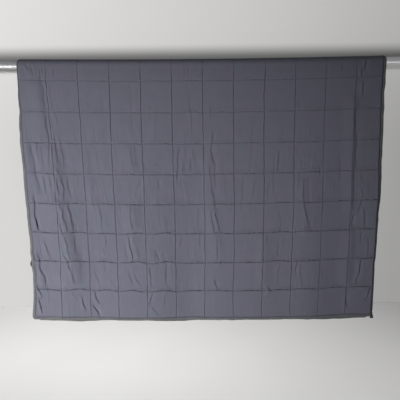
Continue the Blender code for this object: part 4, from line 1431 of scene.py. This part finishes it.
def makeSteel():
    finish = Finish("satinSteel")
    place = finish.objectPlace()
    parts = finish.split(place)
    scales = (14.0, 900.0, 900.0)
    lengthwise = finish.vector(*[finish.times(part, scale) for part, scale in zip(parts, scales)])
    grain = finish.noise(lengthwise, 1.0, 3.0, 0.6)
    haze = finish.noise(place, 9.0, 3.0, 0.6)
    colour = finish.mixColour(finish.span(haze, 0.3, 0.7), (0.66, 0.66, 0.65, 1), (0.58, 0.585, 0.58, 1))
    rough = finish.plus(finish.span(grain, 0.3, 0.7, 0.37, 0.43), finish.span(haze, 0.35, 0.7, 0.0, 0.05))
    finish.set(Base_Color=colour, Metallic=1.0, Roughness=rough, Normal=finish.bump(grain, 0.00004))
    return finish.material


def makePaint(name, colour, roughness):
    finish = Finish(name)
    place = finish.objectPlace()
    tone = finish.span(finish.noise(place, 1.2, 2.0), 0.2, 0.8, 0.985, 1.015)
    paint = finish.shaded((*colour, 1), tone)
    grain = finish.bump(finish.noise(place, 60.0, 3.0), 0.0002)
    finish.set(Base_Color=paint, Roughness=roughness, Normal=grain)
    return finish.material


# A backdrop that glows by itself with painted light, brightest at its upper left, that fades out past the
# view
def makeBackdrop():
    finish = Finish("glowingPaintedLightBackdrop")
    x, y, z = finish.split(finish.objectPlace())
    glow = finish.plus(finish.span(x, -1.3, 2.8, 0.66, 0.33, False), finish.span(z, -0.5, 1.0, 0.0, 0.10))
    for low, high, start, end in ((-3.6, -1.8, 0.0, 1.0), (3.0, 4.6, 1.0, 0.0)):
        glow = finish.times(glow, finish.span(x, low, high, start, end))
    glow = finish.times(glow, finish.span(z, 1.1, 2.4, 1.0, 0.0))
    # a painted soft shadow along it at the height of the rod
    shadow = finish.times(finish.span(z, 0.64, 0.48, 0.0, 0.8), finish.span(z, 0.34, 0.42))
    glow = finish.times(glow, finish.minus(1.0, shadow))
    finish.set(Base_Color=(0.02, 0.02, 0.02, 1), Roughness=1.0, Emission_Color=(1.0, 0.99, 0.98, 1),
               Emission_Strength=glow)
    return finish.material


cotton = makeCotton()
tapeFinish = makeTapeFinish("edgeTape", (0.116, 0.117, 0.121), (0.100, 0.102, 0.107), 0.4)
darkTape = makeTapeFinish("darkTabTape", (0.016, 0.016, 0.019), (0.011, 0.011, 0.013), 0.4)
loopTape = makeTapeFinish("loopTape", (0.055, 0.053, 0.056), (0.040, 0.039, 0.043), 0.4)
thread = makeThread()
steel = makeSteel()
backdrop = makeBackdrop()
floorPaint = makePaint("paleFloor", (0.86, 0.85, 0.845), 0.85)
print("finishes made")

quilt = makeQuilt(cotton)
binding = makeBinding(tapeFinish)
bar = makeRod(steel)


sideTabShape = {
    "squares": (1.745, 1.815, 1.875, 1.900, 1.995),     # along the left edge, and how far it stands out there
    "out": (0.0004, 0.0050, 0.0050, 0.0043, 0.0004),
    "thick": 0.0016,
}


def makeSideTab():
    squares = sideTabShape["squares"]
    qs = np.linspace(squares[0], squares[-1], 9)
    gap = tape["thick"] + tape["gap"]
    out = np.interp(qs, squares, sideTabShape["out"])
    roots = hang(-gap / blanket["squareAcross"], qs, 0.0)
    folds = hang(-(gap + out) / blanket["squareAcross"], qs, 0.0)
    roots[:, 1] = folds[:, 1] = roots[:, 1].mean()
    return makeTab("sideTab", roots, folds, sideTabShape["thick"], darkTape)


# Heights from the corner's own, in mm, where it is cut; then its right edge at four heights, in metres
cornerTabShape = {
    "inEdge": 0.0956,        # squares in from the side, where the corner's height is taken
    "heights": (-9.1, -7.5, -5.5, -3.5, -2.0, -1.0, 0.5, 2.5, 4.5, 7.0, 10.0, 13.0, 15.2),
    "rightHeights": (-0.0091, -0.0021, 0.0049, 0.0152),
    "right": (0.0075, 0.0068, 0.0046, 0.0022),
    "leftBelow": -0.0050,
    "clear": 0.0003,         # of the binding's rounded corner
    "places": 13,            # across it
    "ripple": 0.00045,
    "halfThick": 0.0009,
}


def makeCornerTab():
    shape, margin = cornerTabShape, blanket["margin"]
    gap = tape["thick"] + tape["gap"]
    edge = blanket["across"]
    corner = np.array((hang(edge, hemMargins()[0], 0.0)[0], 0.0, hang(edge - shape["inEdge"], 0.0, 0.0)[2]))
    depth = hang(edge, 0.1, 0.0)[1]
    heights = np.array(shape["heights"]) / 1000
    right = np.interp(heights, shape["rightHeights"], shape["right"])
    arc = margin + gap + shape["clear"]
    rise = np.clip(heights, -arc + margin + 1e-5, margin) - margin
    left = np.where(heights < -gap, shape["leftBelow"], np.sqrt(np.maximum(arc ** 2 - rise ** 2, 0)) - margin)
    ways = np.linspace(0, 1, shape["places"])
    ripple = shape["ripple"] * np.sin(ways * math.pi * 5)
    thick = shape["halfThick"] * np.sqrt(np.clip(1 - np.abs(2 * ways - 1) ** 6, 0.08, 1))
    rings = []
    for height, low, high in zip(heights, left, right):
        x = corner[0] + (low + (high - low) * ways)
        z = np.full(shape["places"], corner[2] + height)
        face, rear = (np.stack([x, depth + side * thick + ripple, z], -1) for side in (-1, 1))
        rings.append(np.vstack([face, rear[::-1]]))
    faces = ringFaces(len(rings), 2 * shape["places"], False)
    return makeMesh("cornerTab", np.array(rings).reshape(-1, 3), faces, loopTape)


sideTab = makeSideTab()
cornerTab = makeCornerTab()
print("rod and tabs made")


# Stitches laid along guide lines: a short thread at every pitch, turned to the cloth
stitching = {
    "pitch": 0.0036,
    "bindingPitch": 0.0032,
    "threadShare": 0.74,     # of the pitch that shows as thread
    "radius": 0.00030,
    "unevenness": 0.14,
    "lift": 0.0002,          # off the cloth
    "linesPerSquare": 30,
    "inHem": 0.11,           # where the seams across begin and end, in squares
    "fromTapeEdge": 0.0014,
    "overTape": 0.0001,
}
stitchSockets = (("Lines", "Geometry"), ("Pitch", "Float"), ("Thread Length", "Float"),
                 ("Thread Radius", "Float"), ("Unevenness", "Float"), ("Seed", "Int"), ("Thread", "Material"))
alignment = "FunctionNodeAlignRotationToVector"
stitchKinds = {
    "given": ("NodeGroupInput", {}),
    "result": ("NodeGroupOutput", {}),
    "toCurve": ("GeometryNodeMeshToCurve", {}),
    "resample": ("GeometryNodeResampleCurve", {"mode": "LENGTH"}),
    "outward": ("GeometryNodeInputNamedAttribute", {"data_type": "FLOAT_VECTOR"}),
    "tangent": ("GeometryNodeInputTangent", {}),
    "alignX": (alignment, {"axis": "X"}),
    "alignZ": (alignment, {"axis": "Z", "pivot_axis": "X"}),
    "ball": ("GeometryNodeMeshUVSphere", {}),
    "size": ("ShaderNodeCombineXYZ", {}),
    "halve": ("ShaderNodeMath", {"operation": "MULTIPLY"}),
    "shaped": ("GeometryNodeTransform", {}),
    "uneven": ("FunctionNodeRandomValue", {"data_type": "FLOAT"}),
    "least": ("ShaderNodeMath", {"operation": "SUBTRACT"}),
    "onPoints": ("GeometryNodeInstanceOnPoints", {}),
    "realize": ("GeometryNodeRealizeInstances", {}),
    "colour": ("GeometryNodeSetMaterial", {}),
}
stitchValues = (("outward", "Name", "outward"), ("ball", "Segments", 4), ("ball", "Rings", 4),
                ("ball", "Radius", 1.0), ("halve", 1, 0.5), ("least", 0, 1.0))
# from a node's output to another's input
stitchLinks = (
    ("given", "Lines", "toCurve", "Mesh"),
    ("toCurve", "Curve", "resample", "Curve"),
    ("given", "Pitch", "resample", "Length"),
    ("tangent", "Tangent", "alignX", "Vector"),
    ("alignX", "Rotation", "alignZ", "Rotation"),
    ("outward", "Attribute", "alignZ", "Vector"),
    ("given", "Thread Length", "halve", 0),
    ("halve", 0, "size", "X"),
    ("given", "Thread Radius", "size", "Y"),
    ("given", "Thread Radius", "size", "Z"),
    ("ball", "Mesh", "shaped", "Geometry"),
    ("size", "Vector", "shaped", "Scale"),
    ("given", "Unevenness", "least", 1),
    ("least", 0, "uneven", 2),
    ("given", "Seed", "uneven", "Seed"),
    ("resample", "Curve", "onPoints", "Points"),
    ("shaped", "Geometry", "onPoints", "Instance"),
    ("alignZ", "Rotation", "onPoints", "Rotation"),
    ("uneven", 1, "onPoints", "Scale"),
    ("onPoints", "Instances", "realize", "Geometry"),
    ("realize", "Geometry", "colour", "Geometry"),
    ("given", "Thread", "colour", "Material"),
    ("colour", "Geometry", "result", "Stitches"),
)


def stitchTree():
    tree = bpy.data.node_groups.new("stitchesAlongLines", "GeometryNodeTree")
    for name, kind in stitchSockets:
        tree.interface.new_socket(name, in_out="INPUT", socket_type="NodeSocket" + kind)
    tree.interface.new_socket("Stitches", in_out="OUTPUT", socket_type="NodeSocketGeometry")
    nodes = {}
    for name, (kind, settings) in stitchKinds.items():
        nodes[name] = tree.nodes.new(kind)
        for setting, value in settings.items():
            setattr(nodes[name], setting, value)
    for name, socket, value in stitchValues:
        nodes[name].inputs[socket].default_value = value
    for source, output, target, socket in stitchLinks:
        tree.links.new(nodes[source].outputs[output], nodes[target].inputs[socket])
    return tree


stitchNodes = stitchTree()


# Guide lines are rows of (points, outward directions)
def makeStitches(name, lines, pitch, seed, material):
    points, edges, outward = [], [], []
    for line, normals in lines:
        start = len(points)
        points += line.tolist()
        outward += normals.tolist()
        edges += [(start + step, start + step + 1) for step in range(len(line) - 1)]
    mesh = bpy.data.meshes.new(name + "Lines")
    mesh.from_pydata(points, edges, [])
    attribute = mesh.attributes.new("outward", "FLOAT_VECTOR", "POINT")
    attribute.data.foreach_set("vector", np.array(outward, dtype=np.float32).ravel())
    guide = addObject(name + "Lines", mesh)
    modifier = guide.modifiers.new("stitches", "NODES")
    modifier.node_group = stitchNodes
    values = {"Pitch": pitch, "Thread Length": pitch * stitching["threadShare"], "Seed": seed,
              "Thread Radius": stitching["radius"], "Unevenness": stitching["unevenness"], "Thread": material}
    for item in stitchNodes.interface.items_tree:
        if item.in_out == "INPUT" and item.name in values:
            modifier[item.identifier] = values[item.name]
    evaluated = guide.evaluated_get(bpy.context.evaluated_depsgraph_get())
    made = bpy.data.meshes.new_from_object(evaluated)
    made.name = name
    bpy.data.objects.remove(guide)
    for attribute in [item for item in made.attributes if item.name == "outward"]:
        made.attributes.remove(attribute)
    made.shade_smooth()
    print(name, len(made.vertices), "points", len(made.polygons), "faces")
    return addObject(name, made)


def guideLine(p, q, height, lifted):
    p, q = np.broadcast_arrays(np.asarray(p, float), np.asarray(q, float))
    out = height(p, q) + lifted
    line = hang(p, q, out)
    outer = hang(p, q, out + 0.001)
    return line, (outer - line) / 0.001


def seamGuides(low, high, height):
    qs = np.linspace(low, high, int((high - low) * stitching["linesPerSquare"]))
    ps = np.linspace(stitching["inHem"], blanket["across"] - stitching["inHem"], 360)
    lines = [guideLine(float(seam), qs, height, stitching["lift"]) for seam in range(1, blanket["across"])]
    lines += [guideLine(ps, float(seam), height, stitching["lift"])
              for seam in range(1, blanket["along"]) if low < seam < high]
    return lines


def bindingGuides(side):
    stations = edgeStations()
    way = tape["width"] - stitching["fromTapeEdge"]
    p = stations[:, 0] + stations[:, 2] * way
    q = stations[:, 1] + stations[:, 3] * way
    height = side * (blanket["seamHalf"] + tape["gap"] + tape["thick"] + stitching["overTape"])
    line = hang(p, q, height)
    outer = hang(p, q, height + side * 0.001)
    return [(np.vstack([line, line[:1]]), np.vstack([outer - line, (outer - line)[:1]]) / 0.001)]


frontStitches = makeStitches("frontStitches", seamGuides(0.1, 9.5, frontOut), stitching["pitch"], 3, thread)
backStitches = makeStitches("backStitches", seamGuides(9.5, 17.9, outerOut), stitching["pitch"], 4, thread)
bindingStitches = makeStitches("bindingStitches", bindingGuides(1) + bindingGuides(-1),
                               stitching["bindingPitch"], 6, thread)

for piece, node, slot in ((quilt, "quilt", "quilt_cotton"), (binding, "binding", "binding_tape"),
                          (bar, "rod", "rod_metal"), (sideTab, "side_tab", "dark_tape"),
                          (cornerTab, "corner_tab", "loop_tape")):
    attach(piece, "root")
    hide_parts(node)
for piece in (frontStitches, backStitches, bindingStitches):
    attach(piece, "root")

room = {
    "floor": -2.10,
    "floorX": (-14, 15),
    "floorY": (-14, 14),
    "wall": 3.0,
    "wallX": (-9, 10.5),
    "wallTop": 5,
}


def makeStage():
    low, back, top = room["floor"], room["wall"], room["wallTop"]
    (left, right), (near, far) = room["floorX"], room["floorY"]
    corners = [(left, near, low), (right, near, low), (right, far, low), (left, far, low)]
    floor = makeMesh("studioFloor", corners, [(0, 1, 2, 3)], floorPaint, False)
    left, right = room["wallX"]
    corners = [(left, back, low), (right, back, low), (right, back, top), (left, back, top)]
    wall = makeMesh("studioWall", corners, [(0, 1, 2, 3)], backdrop, False)


def aimed(name, data, place, aim):
    lamp = bpy.data.objects.new(name, data)
    way = Vector(aim) - Vector(place)
    lamp.matrix_world = Matrix.Translation(place) @ way.to_track_quat("-Z", "Y").to_matrix().to_4x4()
    bpy.context.scene.collection.objects.link(lamp)
    return lamp


def addLamp(name, place, aim, size, power):
    data = bpy.data.lights.new(name, "AREA")
    data.shape = "RECTANGLE"
    data.size, data.size_y = size
    data.energy = power
    return aimed(name, data, place, aim)


def addSpot(name, place, aim, halfAngle, radius, power):
    data = bpy.data.lights.new(name, "SPOT")
    data.spot_size = 2 * halfAngle
    data.spot_blend = 1.0
    data.shadow_soft_size = radius
    data.energy = power
    return aimed(name, data, place, aim)


view = {
    "place": (0.73338, -1.44345, -0.20945),
    "lens": 38.61,
    "sensor": 36,
    "turns": ((-0.162, "Z"), (90 - 9.357, "X"), (-0.665, "Z")),      # round, up and in its own plane, degrees
}


def addCamera():
    data = bpy.data.cameras.new("view")
    data.sensor_width = view["sensor"]
    data.lens = view["lens"]
    data.clip_start = 0.02
    camera = bpy.data.objects.new("view", data)
    pose = Matrix.Translation(view["place"])
    for degrees, axis in view["turns"]:
        pose = pose @ Matrix.Rotation(math.radians(degrees), 4, axis)
    camera.matrix_world = pose
    bpy.context.scene.collection.objects.link(camera)
    bpy.context.scene.camera = camera


# Pale surroundings all round, which light the cloth only a little
def addWorld():
    world = bpy.data.worlds.new("room")
    world.use_nodes = True
    nodes, link = world.node_tree.nodes, world.node_tree.links.new
    background = nodes["Background"]
    background.inputs["Color"].default_value = (0.95, 0.96, 1.0, 1)
    path = nodes.new("ShaderNodeLightPath")
    strength = nodes.new("ShaderNodeMapRange")
    strength.inputs["To Min"].default_value = light["surroundings"]
    strength.inputs["To Max"].default_value = light["ambient"]
    link(path.outputs["Is Diffuse Ray"], strength.inputs["Value"])
    link(strength.outputs["Result"], background.inputs["Strength"])
    bpy.context.scene.world = world


# Powers, and how bright the surroundings look and how much they light the cloth
light = {
    "key": 574,
    "fill": 6.5,
    "stripLeft": 31.2,
    "stripRight": 9.5,
    "under": 5,
    "floorWash": 29,
    "behind": 62,
    "surroundings": 0.32,
    "ambient": 0.05,
}
# Place, aim and size of the flat lamps
lampPlaces = {
    "fill": ((-0.95, -1.1, 0.2), (0.3, 0, 0.0), (0.5, 0.5)),
    "stripLeft": ((-1.25, -2.4, -0.40), (-1.25, 0, 0), (2.8, 0.55)),
    "stripRight": ((2.65, -2.4, -0.34), (2.65, 0, 0), (2.8, 0.35)),
    "under": ((0.75, -1.3, -1.5), (0.75, 0, 0), (4.5, 1.0)),
    "floorWash": ((-0.7, 1.6, -0.35), (-0.7, 2.5, -2.1), (3.2, 0.5)),
    "behind": ((3.1, 1.15, 1.0), (0.7, 0, -0.45), (0.9, 0.7)),
}
onlyInRod = ("stripLeft", "stripRight", "under")
makeStage()
key = addSpot("key", (-1.188, -2.197, -1.526), (0.160, 0, -0.807), 0.428, 0.2, light["key"])
key.visible_glossy = False
for name, placing in lampPlaces.items():
    lamp = addLamp(name, *placing, light[name])
    lamp.visible_diffuse = name not in onlyInRod
    lamp.visible_glossy = name in onlyInRod
print("stage and lamps set")
addWorld()
bpy.context.scene.view_settings.view_transform = "Standard"
addCamera()
